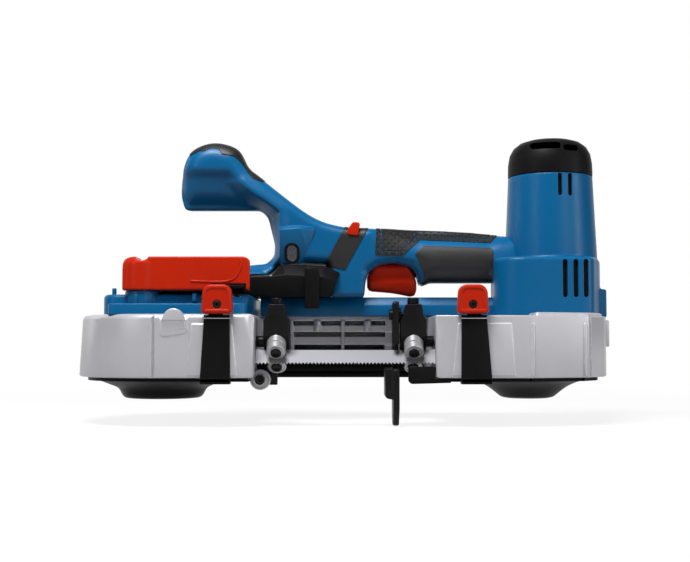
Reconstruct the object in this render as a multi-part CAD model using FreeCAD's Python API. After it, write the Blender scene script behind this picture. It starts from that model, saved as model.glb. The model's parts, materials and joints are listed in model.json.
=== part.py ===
import FreeCAD, Part
import math
import os

# Cordless portable band saw, millimetres.
# X runs from the idler wheel to the drive wheel, Y from the cutting side to the back, Z up.
# The origin is the centre of the band loop, at mid height of the wheel rims.

V = FreeCAD.Vector
AXIS_X = V(1, 0, 0)
AXIS_Y = V(0, 1, 0)
AXIS_Z = V(0, 0, 1)

# Band and wheels
TYRE_THICK = 2.0
RIM_THICK = 4.0
RIM_BOTTOM = -4.5
RIM_TOP = 8.4
FLANGE_STEP = 1.75
FLANGE_THICK = 1.5
WEB_THICK = 4.0
HUB_RADIUS = 11.0
HUB_BOTTOM = -7.0
HUB_TOP = 9.5
WEB_HOLE_RADIUS = 7.0
WEB_HOLE_COUNT = 6
BAND_WIDTH = 13.0
BAND_THICK = 0.5
BAND_GAP = 0.05
BAND_TILT = 45.0
BAND_DROP = 1.5
GUIDE_INSET = 14.0
TWIST_STEPS = 9

# Cast frame
HOUSING_TOP = 24.5
HOUSING_BOTTOM = -15.2
HOUSING_DEPTH = 62.0
THROAT_HALF = 60.0
HOUSING_WALL = 8.2
THROAT_WALL = 10.2
LEFT_WALL = 5.7
RIGHT_WALL = 3.2
FRONT_FLAT_BACK = 19.0
HOUSING_ROUND = 4.0
WALL = 3.0
WHEEL_ROOM = 2.2
RUN_SLOT = 14.0
RUN_SLOT_Z = 9.5
SPINE_FRONT = 12.0
SPINE_LIP = 4.0
SPINE_FOOT_INSET = 6.15
SPINE_FOOT_Z = -7.5
RETURN_ROOM = 4.0
RIB_SLOT_HEIGHT = 3.4
RIB_SLOT_DEPTH = 7.0
RIB_SLOT_PITCH = 8.6
RIB_SLOT_ROWS = 3
RIB_LEFT_INSET = 18.0
RIB_RIGHT_INSET = 31.0
RIB_WIDTH = 2.6

# Facets of the right housing: distance from its end, and share of the depth
RIGHT_CORNERS = [(56.0, 0.016), (22.0, 0.234), (8.0, 0.516), (0.0, 0.839)]

# Lower blade cover
COVER_THICK = 2.6
COVER_INSET = 1.2
COVER_WALL = 2.4
DOME_BOTTOM = -31.0
STRAP_ASIDE = 44.7
STRAP_TOP_WIDTH = 17.0
STRAP_FOOT_WIDTH = 20.6
STRAP_THICK = 2.6
STRAP_GAP = 0.4
NOSE_LEAD = 4.0
NOSE_FOOT = 5.0
NOSE_FRONT = -10.45
NOSE_BACK = -6.05
NOSE_TOP = -7.4

# Cover latches
LATCH_WIDTH = 20.4
LATCH_HEIGHT = 20.5
LATCH_THICK = 6.0
LATCH_ROUND = 6.0
LATCH_PIN_RADIUS = 1.2
LATCH_PIN_RAISE = 3.4
LATCH_SOCKET_RADIUS = 2.2
LATCH_SOCKET_DEPTH = 1.2
LATCH_SOCKET_RAISE = 3.4
LATCH_BOTTOM = 27.1
LATCH_PIN_SET = 2.4
LATCH_PIN_COVER = 4.2
LATCH_LUG_WIDTH = 10.0
LATCH_LUG_RADIUS = 2.6

# Drive line
SHAFT_RADIUS = 6.0
SHAFT_BOTTOM = -9.0
SHAFT_TOP = 47.0
BALL_BEARING_RADIUS = 14.0
BALL_BEARING_WIDTH = 8.0
LOWER_BEARING_Z = 11.5
UPPER_BEARING_Z = 26.5
MOTOR_ASIDE = 19.0
MOTOR_Y = 12.0
MODULE_FIRST = 0.6
PINION_FIRST_TEETH = 10
GEAR_FIRST_TEETH = 48
MODULE_SECOND = 0.8
PINION_SECOND_TEETH = 11
GEAR_SECOND_TEETH = 44
BACKLASH = 0.10
OUTPUT_GEAR_Z = 36.0
OUTPUT_GEAR_WIDTH = 10.0
FIRST_GEAR_Z = 50.0
FIRST_GEAR_WIDTH = 7.0
PINION_EXTRA = 1.0
LAY_SHAFT_RADIUS = 3.0
LAY_BUSH_RADIUS = 5.5
LAY_BUSH_LENGTH = 6.0
RUNNING_FIT = 0.03

# Motor tower
CUP_ASIDE = 15.7
CUP_Y = 8.0
CUP_RADIUS = 39.7
CUP_TOP = 68.0
CUP_WALL = 2.5
TOWER_RADIUS_TOP = 30.2
TOWER_RADIUS_FOOT = 33.0
CUP_ROUND = 5.0
CUP_SLOTS = (23.0, 30.0, 36.5)
CUP_SLOT_WIDTH = 3.2
CUP_SLOT_BOTTOM = 39.5
CUP_SLOT_DEPTH = 11.9
TOWER_SLOTS = (3.6, 10.6)
TOWER_SLOT_WIDTH = 3.0
TOWER_SLOT_HEIGHT = 17.0
TOWER_SLOT_DEPTH = 18.0
CASE_FIT = 0.1
CAP_RADIUS = 30.6
CAP_BOTTOM = 129.0
CAP_HEIGHT = 27.5
CAP_ROUND = 7.0
CAP_SLOTS = ((-18.5, 2.0), (4.5, 16.0))
CAP_SLOT_RAISE = 14.5
CAP_SLOT_HEIGHT = 5.0
CAP_SLOT_DEPTH = 12.2
BRIDGE_LIP = 1.5
BRIDGE_VENT = 4.5
BULKHEAD_THICK = 6.0
MOTOR_SHAFT_RADIUS = 2.5
ROTOR_RADIUS = 12.5
AIR_GAP = 0.5
STATOR_RADIUS = 26.5
STATOR_SLOTS = 6
STATOR_SLOT_RADIUS = 4.0
WINDING_HEIGHT = 4.0
STATOR_Z = 84.0
WINDING_GAP = 0.5
FAN_Z = 71.0
FAN_HEIGHT = 8.0
FAN_RADIUS = 25.0
FAN_BLADES = 9
FAN_DISC = 1.6
FAN_HUB = 6.0
MOTOR_BEARING_RADIUS = 8.0
MOTOR_BEARING_WIDTH = 5.0
BRIDGE_HEIGHT = 5.0

# Upper body
BODY_Y = 12.0
BODY_HALF = 19.0
SKIN = 2.2
HANDLE_TOP = 90.0
GRIP_BOTTOM = 52.0
BODY_ROUND = 7.0
RIM_LEAST = 80.0
SHELL_WALL = 3.0
RAIL_FRONT = 2.0
RAIL_TOP = 41.0
RAIL_CHAMFER = 6.0
RAIL_CHAMFER_SET = 3.6
RAIL_WALL = 5.0
RAIL_FLOOR = 3.5
RAIL_BACK_INSET = 10.0
DECK_REACH = 34.0
DECK_GAP = 1.0
DECK_FRONT_INSET = 9.0
DECK_BACK_INSET = 12.0
DECK_TOP = 41.0
DECK_STEP = 33.0
DECK_ROUND = 12.0
DECK_INSET = 2.5
DECK_SCREW_INSET = 12.0
DECK_SCREW_BACK = 14.0
SCREW_HEAD = 3.2
SCREW_HEAD_HEIGHT = 2.4
SCREW_SHANK = 1.7
SCREW_BOSS = 4.2
SHELL_SCREWS = [(-100.0, 130.0), (-30.0, 92.0), (60.0, 72.0), (100.0, 72.0), (2.0, 52.0)]

# Handle outline seen from the front, as X and Z: the top line, then round below to the knob
BODY_TOP_LINE = [(-116.9, 105.5), (-119.6, 119.3), (-114.3, 143.8), (-96.9, 153.1), (-78.5, 148.5),
                 (-70.3, 135.1), (-60.1, 126.5), (-25.3, 99.9), (-0.7, 91.7), (21.9, 91.1)]
BODY_INTO = 21.0
BODY_END = (88.8, 52.0)
BODY_LOWER_LINE = [(61.5, 52.0), (54.5, 49.3), (53.0, 62.5), (15.0, 62.5),
                   (14.0, 28.0), (-10.0, 28.0), (-12.0, 64.8), (-45.0, 66.2), (-54.0, 60.6), (-76.0, 59.4),
                   (-76.0, 64.0), (-57.0, 65.5), (-51.5, 71.0), (-51.0, 79.0), (-56.0, 99.0), (-60.0, 104.0)]
ROOM_LINE = [(-106.0, 112.0), (-110.0, 120.0), (-107.0, 137.0), (-97.0, 144.0), (-84.0, 141.0), (-66.0, 118.0),
             (-20.0, 88.0), (-2.0, 82.5), (108.0, 82.5), (108.0, 58.0), (58.0, 58.0), (55.0, 66.0),
             (11.0, 66.0), (9.0, 46.0), (-6.0, 46.0), (-7.0, 69.0), (-42.0, 70.5), (-45.0, 80.0),
             (-50.0, 101.0), (-57.0, 110.0)]
INLAY_PATCH = [(23.1, 96.0), (22.2, 71.8), (41.2, 70.9), (54.5, 83.3), (105.7, 81.6), (111.9, 87.8),
               (112.0, 96.0)]
GRIP_PATCH = [(50.9, 72.9), (57.6, 79.4), (107.0, 77.5), (107.0, 46.0), (50.9, 46.0)]
COLLAR_PATCH = [(-14.8, 63.4), (0.0, 60.2), (20.5, 97.0), (3.2, 97.0)]
KNOB_PATCH = [(-113.5, 144.6), (-106.0, 146.6), (-99.0, 149.8), (-92.0, 147.0), (-84.0, 142.5), (-76.0, 138.0),
              (-69.5, 128.0), (-60.5, 122.6), (-58.0, 128.0), (-66.0, 142.0), (-75.0, 157.0), (-97.0, 160.0),
              (-116.0, 156.0)]

# Trigger, switch and lock-off
TRIGGER_LEFT = 16.0
TRIGGER_RIGHT = 52.0
TRIGGER_BOTTOM = 44.0
TRIGGER_TOP = 66.0
TRIGGER_DEPTH = 18.0
TRIGGER_TRAVEL = 6.0
TRIGGER_CURVE = 34.0
TRIGGER_DISH = 4.0
TRIGGER_SPRING_LENGTH = 6.0
TRIGGER_SPRING_TURNS = 4
SWITCH_LENGTH = 34.0
SWITCH_WIDTH = 17.0
SWITCH_TOP = 82.0
LOCK_X = 6.5
LOCK_WIDTH = 9.4
LOCK_BOTTOM = 85.3
LOCK_TOP = 96.0
LOCK_PROUD = 1.6
BOARD_LEFT = -40.0
BOARD_RIGHT = -10.0
BOARD_BOTTOM = 72.0
BOARD_TOP = 84.0
BOARD_THICK = 1.6

# Work light
LED_LEFT = -46.4
LED_RIGHT = -31.4
LED_BOTTOM = 67.0
LED_TOP = 92.4
LED_PROUD = 2.5
LED_DEPTH = 4.4
LENS_LEFT = -42.4
LENS_RIGHT = -34.4
LENS_BOTTOM = 68.4
LENS_TOP = 81.2
LENS_DEPTH = 3.0

# Battery dock and hanging hook
DOCK_HALF = 26.0
DOCK_LEFT = -152.0
DOCK_STOP_X = -72.0
DOCK_RAIL_TOP = 49.0
DOCK_FLANGE = 4.0
DOCK_FLANGE_THICK = 3.0
DOCK_SIDE = [(-72.0, 41.0), (-10.2, 41.0), (-3.0, 59.0), (-14.8, 63.0), (-45.0, 64.4), (-54.0, 58.4),
             (-72.0, 57.0)]
COLUMN_LEFT = -12.0
TERMINAL_COUNT = 4
TERMINAL_PITCH = 9.0
TERMINAL_THICK = 0.8
TERMINAL_REACH = 9.0
TERMINAL_HEIGHT = 6.5
HOOK_X = -23.2
HOOK_Z = 56.0
HOOK_WIDTH = 10.6
HOOK_THICK = 6.0
HOOK_BOTTOM = 32.0
HOOK_PIN = 2.5

# Band tension
CARRIAGE_NECK = 20.0
CARRIAGE_SLOT = 36.0
CARRIAGE_LENGTH = 58.0
CARRIAGE_THICK = 5.0
CARRIAGE_INSET = 4.0
CARRIAGE_BACK = 14.0
TENSION_TRAVEL = 6.0
SLIDE_FIT = 0.15
IDLER_AXLE_RADIUS = 5.0
IDLER_HUB_RADIUS = 16.0
IDLER_BEARING_RADIUS = 13.0
IDLER_BEARING_WIDTH = 7.0
PIVOT_ASIDE = 9.0
PIVOT_INSET = 15.0
PIVOT_RADIUS = 4.0
CAM_RADIUS = 6.0
CAM_OFFSET = 2.0
CAM_ROOM = 0.5
LEVER_BOTTOM = 43.7
LEVER_TOP = 66.5
LEVER_DEPTH = 22.0
LEVER_REACH = 75.0
LEVER_ROUND = 5.0
LEVER_BOSS_RADIUS = 12.5
LEVER_RELIEF_IN = 48.5
LEVER_RELIEF_OUT = 80.0
LEVER_RELIEF_TOP = 48.4
SPRING_RADIUS = 2.0
SPRING_WIRE = 0.5
SPRING_LENGTH = 14.0
SPRING_TURNS = 6

# Guides and work stop: depths are counted from the cutting run
GUIDE_BEARING_RADIUS = 6.5
GUIDE_BEARING_BORE = 2.0
GUIDE_BEARING_WIDTH = 5.0
GUIDE_GAP = 0.05
GUIDE_GRIP = 5.0
THRUST_RADIUS = 4.0
THRUST_ROOM = 0.8
THRUST_PIN = 5.0
GUIDE_PIN = 16.0
HEAD_STEP = 1.2
GUIDE_SCREW_HEAD = 3.8
BRACKET_WIDTH = 17.4
BRACKET_NECK = 12.0
BRACKET_TOP = 34.0
BRACKET_SHOULDER = 25.5
BRACKET_FRONT = -3.85
BRACKET_SCREW_Y = 3.15
BRACKET_SCREW_HEIGHT = 4.5
BRACKET_BOSS = 3.8
BRACKET_BOSS_Y = 6.15
BRACKET_BOSS_Z = 9.0
BRACKET_SIDE = [(-3.85, 34.0), (9.15, 34.0), (14.15, 25.0), (16.65, 2.0), (14.65, -6.0), (-3.85, 12.5)]
ROLLER_ASIDE = 11.0
ROLLER_Z = -16.5
ROLLER_RADIUS = 7.0
ROLLER_WIDTH = 7.0
ROLLER_SET = 12.15
ROLLER_STAND = 4.0
LUG_TOP = 2.0

# Work stop
STOP_THICK = 4.2
STOP_GAP = 1.0
STOP_BOSS = 5.0
STOP_SCREW_Y = 5.15
STOP_SCREW_Z = 27.0
STOP_SCREW_LENGTH = 15.0
STOP_SIDE = [(-2.85, 36.0), (13.15, 36.0), (17.15, 20.0), (20.15, 0.0), (20.15, -38.0), (14.15, -47.5),
             (2.15, -47.5), (-7.85, -36.0), (-7.85, -9.0), (7.15, -9.0), (7.15, 6.5), (-2.85, 6.5)]
STOP_LAYER = 5.4
STOP_LAYER_FRONT = -7.85
STOP_LAYER_BACK = 18.15
STOP_LAYER_BOTTOM = -28.6
STOP_LAYER_TOP = -9.0

# Running details
TWIST_LEAD = 10.0
PRESSURE_ANGLE = 25.0
ADDENDUM = 0.8
DEDENDUM = 1.15
PINION_BORE = 1.5
SHAFT_CHAMFER = 0.8
BEARING_RACE = 0.22
BEARING_DISH = 0.6
LAY_END = 1.0

# Dome profiles below the wheels, as distance inside the wheel room and height
LEFT_DOME = [(1.8, -15.2), (1.8, -17.2), (22.8, -24.6), (25.2, -26.4), (27.6, -29.8), (29.2, -31.0)]
RIGHT_DOME = [(1.8, -15.2), (1.8, -17.2), (18.3, -20.8), (34.8, -29.6), (37.2, -31.0)]

# Derived places
CAVITY_RADIUS = HOUSING_DEPTH - HOUSING_WALL
FLANGE_RADIUS = CAVITY_RADIUS - WHEEL_ROOM
TYRE_RADIUS = FLANGE_RADIUS - FLANGE_STEP
RUN_Y = TYRE_RADIUS + BAND_GAP + BAND_THICK / 2.0
RIGHT_X = THROAT_HALF + THROAT_WALL + TENSION_TRAVEL + CAVITY_RADIUS
LEFT_X = -RIGHT_X
LEFT_END_X = RIGHT_X + CAVITY_RADIUS + LEFT_WALL
RIGHT_END_X = RIGHT_X + CAVITY_RADIUS + RIGHT_WALL
GUIDE_X = THROAT_HALF - GUIDE_INSET
STRAP_X = RIGHT_X - STRAP_ASIDE
MOTOR_X = RIGHT_X + MOTOR_ASIDE
CUP_X = RIGHT_X + CUP_ASIDE
SPINE_FOOT_Y = RUN_Y - SPINE_FOOT_INSET
RAIL_BACK = HOUSING_DEPTH - RAIL_BACK_INSET
DECK_LEFT = LEFT_X - DECK_REACH
DECK_RIGHT = -THROAT_HALF - DECK_GAP
DECK_FRONT = -HOUSING_DEPTH + DECK_FRONT_INSET
DECK_BACK = HOUSING_DEPTH - DECK_BACK_INSET
CARRIAGE_FRONT = DECK_FRONT + CARRIAGE_INSET
PIVOT_X = LEFT_X - PIVOT_ASIDE
PIVOT_Y = DECK_FRONT + PIVOT_INSET
LEVER_END = PIVOT_X + LEVER_REACH
ROLLER_X = -GUIDE_X - ROLLER_ASIDE
ROLLER_BACK = ROLLER_SET - RUN_Y
CAP_TOP = CAP_BOTTOM + CAP_HEIGHT
CAP_SLOT_Z = CAP_BOTTOM + CAP_SLOT_RAISE
MOTOR_TOP_BEARING_Z = CAP_BOTTOM - BRIDGE_HEIGHT
STATOR_HEIGHT = MOTOR_TOP_BEARING_Z - BRIDGE_LIP - WINDING_GAP - WINDING_HEIGHT - STATOR_Z
COVER_TOP = HOUSING_BOTTOM
COVER_BOTTOM = HOUSING_BOTTOM - COVER_THICK
STRAP_TOP = HOUSING_TOP - STRAP_GAP
BULKHEAD_Z = CUP_TOP - CUP_WALL - BULKHEAD_THICK


# Building helpers
def box(x0, x1, y0, y1, z0, z1):
    return Part.makeBox(x1 - x0, y1 - y0, z1 - z0, V(x0, y0, z0))


def cylinder(radius, height, base, axis=AXIS_Z):
    return Part.makeCylinder(radius, height, base, axis)


def ring(outer, inner, height, base, axis=AXIS_Z):
    return cylinder(outer, height, base, axis).cut(cylinder(inner, height, base, axis))


def polygon_face(points):
    return Part.Face(Part.makePolygon(points + [points[0]]))


def plate_xz(points, y0, y1):
    return polygon_face([V(x, y0, z) for x, z in points]).extrude(V(0, y1 - y0, 0))


def plate_yz(points, x0, x1):
    return polygon_face([V(x0, y, z) for y, z in points]).extrude(V(x1 - x0, 0, 0))


def spun(points, centre):
    # Turns a profile of (radius, height) points about a vertical axis.
    face = polygon_face([V(centre.x + r, centre.y, z) for r, z in points])
    return face.revolve(centre, AXIS_Z, 360.0)


def fuse(shapes):
    return shapes[0].multiFuse(shapes[1:]).removeSplitter()


def cut(shape, tools):
    return shape.cut(Part.makeCompound(tools))


def straight_edges(shape, axis, keep=None):
    found = []
    for edge in shape.Edges:
        if edge.Curve.TypeId != "Part::GeomLine":
            continue
        way = edge.Vertexes[1].Point.sub(edge.Vertexes[0].Point)
        along = way.Length > 1e-6 and abs(way.normalize().dot(axis)) > 0.9999
        if along and (keep is None or keep(edge.CenterOfMass)):
            found.append(edge)
    return found


def level_edges(shape, axis, place):
    # Edges that lie in one plane square to an axis.
    found = []
    for edge in shape.Edges:
        low = edge.BoundBox
        spans = {0: (low.XMin, low.XMax), 1: (low.YMin, low.YMax), 2: (low.ZMin, low.ZMax)}
        start, end = spans[axis]
        if abs(start - place) < 1e-3 and abs(end - place) < 1e-3:
            found.append(edge)
    return found


def turned(shape, angle, centre=V(0, 0, 0), axis=AXIS_Z):
    copy = shape.copy()
    copy.rotate(centre, axis, angle)
    return copy


def moved(shape, x=0.0, y=0.0, z=0.0):
    copy = shape.copy()
    copy.translate(V(x, y, z))
    return copy


def mirrored_x(shape):
    return shape.mirror(V(0, 0, 0), AXIS_X)


# Wheel housings in plan
def left_plan(inset=0.0):
    radius = HOUSING_DEPTH - inset
    centre_x = HOUSING_DEPTH - LEFT_END_X
    inner = -THROAT_HALF - inset
    arc = Part.Arc(V(centre_x, radius, 0), V(centre_x - radius, 0, 0), V(centre_x, -radius, 0))
    edges = [
        Part.makeLine(V(inner, radius, 0), V(centre_x, radius, 0)),
        arc.toShape(),
        Part.makeLine(V(centre_x, -radius, 0), V(inner, -radius, 0)),
        Part.makeLine(V(inner, -radius, 0), V(inner, radius, 0)),
    ]
    return Part.Wire(edges)


def right_plan(inset=0.0):
    depth = HOUSING_DEPTH - inset
    end = RIGHT_END_X - inset
    facets = [(THROAT_HALF + inset, depth), (RIGHT_X - FRONT_FLAT_BACK, depth)]
    facets += [(end - back, depth * (1.0 - share)) for back, share in RIGHT_CORNERS]
    points = [V(x, y, 0) for x, y in facets] + [V(x, -y, 0) for x, y in reversed(facets)]
    return Part.makePolygon(points + [points[0]])


def housing_block(plan, z0, z1):
    face = Part.Face(plan)
    face.translate(V(0, 0, z0))
    return face.extrude(V(0, 0, z1 - z0))


def spine_block():
    section = [
        (SPINE_FRONT, HOUSING_TOP),
        (SPINE_FRONT, HOUSING_TOP - SPINE_LIP),
        (SPINE_FOOT_Y, SPINE_FOOT_Z),
        (HOUSING_DEPTH, SPINE_FOOT_Z),
        (HOUSING_DEPTH, HOUSING_TOP),
    ]
    return plate_yz(section, -THROAT_HALF - HOUSING_ROUND, THROAT_HALF + HOUSING_ROUND)


def rib_slots():
    # Rows of casting slots along the slanted throat wall, split by one upright rib.
    rise = HOUSING_TOP - SPINE_LIP - SPINE_FOOT_Z
    slope = (SPINE_FOOT_Y - SPINE_FRONT) / rise
    slots = []
    for row in range(RIB_SLOT_ROWS):
        top = HOUSING_TOP - SPINE_LIP - row * RIB_SLOT_PITCH
        front = SPINE_FRONT + slope * (HOUSING_TOP - SPINE_LIP - top)
        back = front + RIB_SLOT_DEPTH
        for x0, x1 in ((RIB_LEFT_INSET - THROAT_HALF, -RIB_WIDTH / 2.0),
                       (RIB_WIDTH / 2.0, THROAT_HALF - RIB_RIGHT_INSET)):
            slots.append(box(x0, x1, front - WALL, back, top - RIB_SLOT_HEIGHT, top))
    return slots


def main_frame():
    left = housing_block(left_plan(), HOUSING_BOTTOM, HOUSING_TOP)
    left = left.makeFillet(HOUSING_ROUND, straight_edges(left, AXIS_Z, lambda c: c.x > -THROAT_HALF - 1.0))
    left = left.makeFillet(WALL / 2.0, level_edges(left, 2, HOUSING_BOTTOM))
    right = housing_block(right_plan(), HOUSING_BOTTOM, HOUSING_TOP)
    right = right.makeFillet(HOUSING_ROUND, straight_edges(right, AXIS_Z, lambda c: c.x < THROAT_HALF + 1.0))
    right = right.makeChamfer(WALL / 2.0, level_edges(right, 2, HOUSING_TOP))
    casting = fuse([left, right, spine_block()])
    depth = HOUSING_TOP - WALL - HOUSING_BOTTOM
    slid = LEFT_X + TENSION_TRAVEL
    room = [cylinder(CAVITY_RADIUS, depth, V(x, 0, HOUSING_BOTTOM)) for x in (LEFT_X, slid, RIGHT_X)]
    room.append(box(LEFT_X, slid, -CAVITY_RADIUS, CAVITY_RADIUS, HOUSING_BOTTOM, HOUSING_BOTTOM + depth))
    run_front = RUN_Y - RUN_SLOT / 2.0
    run_back = RUN_Y + RUN_SLOT / 2.0
    for side in (-1, 1):
        x0, x1 = sorted((side * (THROAT_HALF - WALL), side * RIGHT_X))
        room.append(box(x0, x1, -run_back, -run_front, HOUSING_BOTTOM - WALL, RUN_SLOT_Z))
    room.append(box(LEFT_X, RIGHT_X, RUN_Y - RETURN_ROOM, RUN_Y + RETURN_ROOM,
                    HOUSING_BOTTOM - WALL, RUN_SLOT_Z))
    shell = cut(casting, room + rib_slots())
    boss_radius = BALL_BEARING_RADIUS + WALL
    shell = shell.fuse(cylinder(boss_radius, HOUSING_TOP - LOWER_BEARING_Z, V(RIGHT_X, 0, LOWER_BEARING_Z)))
    bearing_seat = cylinder(BALL_BEARING_RADIUS, BALL_BEARING_WIDTH, V(RIGHT_X, 0, LOWER_BEARING_Z))
    shaft_way = cylinder(SHAFT_RADIUS + WALL, HOUSING_TOP - LOWER_BEARING_Z, V(RIGHT_X, 0, LOWER_BEARING_Z))
    slide_way = box(LEFT_X - CARRIAGE_SLOT / 2.0, LEFT_X + CARRIAGE_SLOT / 2.0,
                    -CARRIAGE_NECK / 2.0 - SLIDE_FIT, CARRIAGE_NECK / 2.0 + SLIDE_FIT,
                    HOUSING_TOP - WALL, HOUSING_TOP)
    tools = [bearing_seat, shaft_way, slide_way, roller_relief()] + deck_screws()
    return cut(shell, tools).removeSplitter()


# Lower blade cover with a dome under each wheel
def dome(centre_x, profile):
    line = [(CAVITY_RADIUS - inset, z) for inset, z in profile]
    outer = [(0.0, COVER_TOP)] + line + [(0.0, DOME_BOTTOM)]
    inner = [(0.0, COVER_TOP)]
    inner += [(r - COVER_WALL, min(z + COVER_WALL, COVER_TOP)) for r, z in line]
    inner += [(0.0, DOME_BOTTOM + COVER_WALL)]
    centre = V(centre_x, 0, 0)
    return spun(outer, centre), spun(inner, centre)


def strap(side):
    x = side * STRAP_X
    y0 = -HOUSING_DEPTH - STRAP_GAP - STRAP_THICK
    y1 = -HOUSING_DEPTH - STRAP_GAP
    face = [
        (x - STRAP_FOOT_WIDTH / 2.0, COVER_BOTTOM),
        (x + STRAP_FOOT_WIDTH / 2.0, COVER_BOTTOM),
        (x + STRAP_TOP_WIDTH / 2.0, STRAP_TOP),
        (x - STRAP_TOP_WIDTH / 2.0, STRAP_TOP),
    ]
    foot = box(x - STRAP_FOOT_WIDTH / 2.0, x + STRAP_FOOT_WIDTH / 2.0, y0, -HOUSING_DEPTH + COVER_INSET + WALL,
               COVER_BOTTOM, COVER_TOP - STRAP_GAP)
    return [plate_xz(face, y0, y1), foot]


def blade_cover():
    plates = [housing_block(plan(COVER_INSET), COVER_BOTTOM, COVER_TOP) for plan in (left_plan, right_plan)]
    left_out, left_in = dome(LEFT_X, LEFT_DOME)
    right_out, right_in = dome(RIGHT_X, RIGHT_DOME)
    rail = box(-THROAT_HALF - WALL, THROAT_HALF + WALL, SPINE_FOOT_Y - COVER_WALL, HOUSING_DEPTH - COVER_INSET,
               COVER_BOTTOM, SPINE_FOOT_Z)
    rail = rail.cut(housing_sides())
    solids = plates + [left_out, right_out, rail] + strap(-1) + strap(1)
    groove = box(-THROAT_HALF - 2 * WALL, THROAT_HALF + 2 * WALL, RUN_Y - RETURN_ROOM, RUN_Y + RETURN_ROOM,
                 COVER_TOP, RUN_SLOT_Z)
    return cut(fuse(solids), [left_in, right_in, groove]).removeSplitter()


def housing_sides():
    # Room for the two housings, which the rail of the cover runs up to.
    left = box(-THROAT_HALF - 2 * WALL, -THROAT_HALF + STRAP_GAP, 0, HOUSING_DEPTH, COVER_TOP, HOUSING_TOP)
    return left.fuse(mirrored_x(left))


# Wheels, tyres and band
def wheel(centre_x, hub_radius, bore):
    rim_in = TYRE_RADIUS - TYRE_THICK - RIM_THICK
    profile = [
        (bore, HUB_BOTTOM),
        (hub_radius, HUB_BOTTOM),
        (hub_radius, 0.0),
        (rim_in, 0.0),
        (rim_in, RIM_BOTTOM),
        (TYRE_RADIUS - TYRE_THICK, RIM_BOTTOM),
        (TYRE_RADIUS - TYRE_THICK, RIM_TOP - FLANGE_THICK),
        (FLANGE_RADIUS, RIM_TOP - FLANGE_THICK),
        (FLANGE_RADIUS, RIM_TOP),
        (rim_in, RIM_TOP),
        (rim_in, WEB_THICK),
        (hub_radius, WEB_THICK),
        (hub_radius, HUB_TOP),
        (bore, HUB_TOP),
    ]
    body = spun(profile, V(centre_x, 0, 0))
    circle = (hub_radius + rim_in) / 2.0
    holes = []
    for index in range(WEB_HOLE_COUNT):
        angle = 2.0 * math.pi * index / WEB_HOLE_COUNT
        place = V(centre_x + circle * math.cos(angle), circle * math.sin(angle), 0)
        holes.append(cylinder(WEB_HOLE_RADIUS, WEB_THICK, place))
    return cut(body, holes)


def tyre(centre_x):
    height = RIM_TOP - FLANGE_THICK - RIM_BOTTOM
    return ring(TYRE_RADIUS, TYRE_RADIUS - TYRE_THICK, height, V(centre_x, 0, RIM_BOTTOM))


def band_section(x, turn, drop):
    # Cross-section of the cutting run, turned about the run, teeth down and to the front.
    angle = math.radians(turn)
    along = V(0, -math.sin(angle), -math.cos(angle))
    across = V(0, math.cos(angle), -math.sin(angle))
    centre = V(x, -RUN_Y, -drop)
    corners = [(1, 1), (1, -1), (-1, -1), (-1, 1)]
    points = [centre + along * (BAND_WIDTH / 2.0 * a) + across * (BAND_THICK / 2.0 * b) for a, b in corners]
    return Part.makePolygon(points + [points[0]])


def twist_run(side):
    start = side * (RIGHT_X - TWIST_LEAD)
    end = side * (GUIDE_X + GUIDE_GRIP)
    wires = []
    for step in range(TWIST_STEPS + 1):
        share = step / TWIST_STEPS
        wires.append(band_section(start + (end - start) * share, BAND_TILT * share, BAND_DROP * share))
    return Part.makeLoft(wires, True, True)


def saw_band():
    outer = RUN_Y + BAND_THICK / 2.0
    inner = RUN_Y - BAND_THICK / 2.0
    low = -BAND_WIDTH / 2.0
    turns = []
    for side in (-1, 1):
        loop = ring(outer, inner, BAND_WIDTH, V(side * RIGHT_X, 0, low))
        x0, x1 = sorted((side * RIGHT_X, side * (RIGHT_X + 2 * outer)))
        turns.append(loop.common(box(x0, x1, -2 * outer, 2 * outer, low, -low)))
        x0, x1 = sorted((side * RIGHT_X, side * (RIGHT_X - TWIST_LEAD)))
        turns.append(box(x0, x1, -outer, -inner, low, -low))
        turns.append(twist_run(side))
    back_run = box(LEFT_X, RIGHT_X, inner, outer, low, -low)
    ends = [band_section(side * (GUIDE_X + GUIDE_GRIP), BAND_TILT, BAND_DROP) for side in (-1, 1)]
    return fuse(turns + [back_run, Part.makeLoft(ends, True, True)])


# Spur gears with involute flanks
def involute_point(base_radius, radius):
    roll = math.sqrt(max((radius / base_radius) ** 2 - 1.0, 0.0))
    return roll - math.atan(roll)


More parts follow.
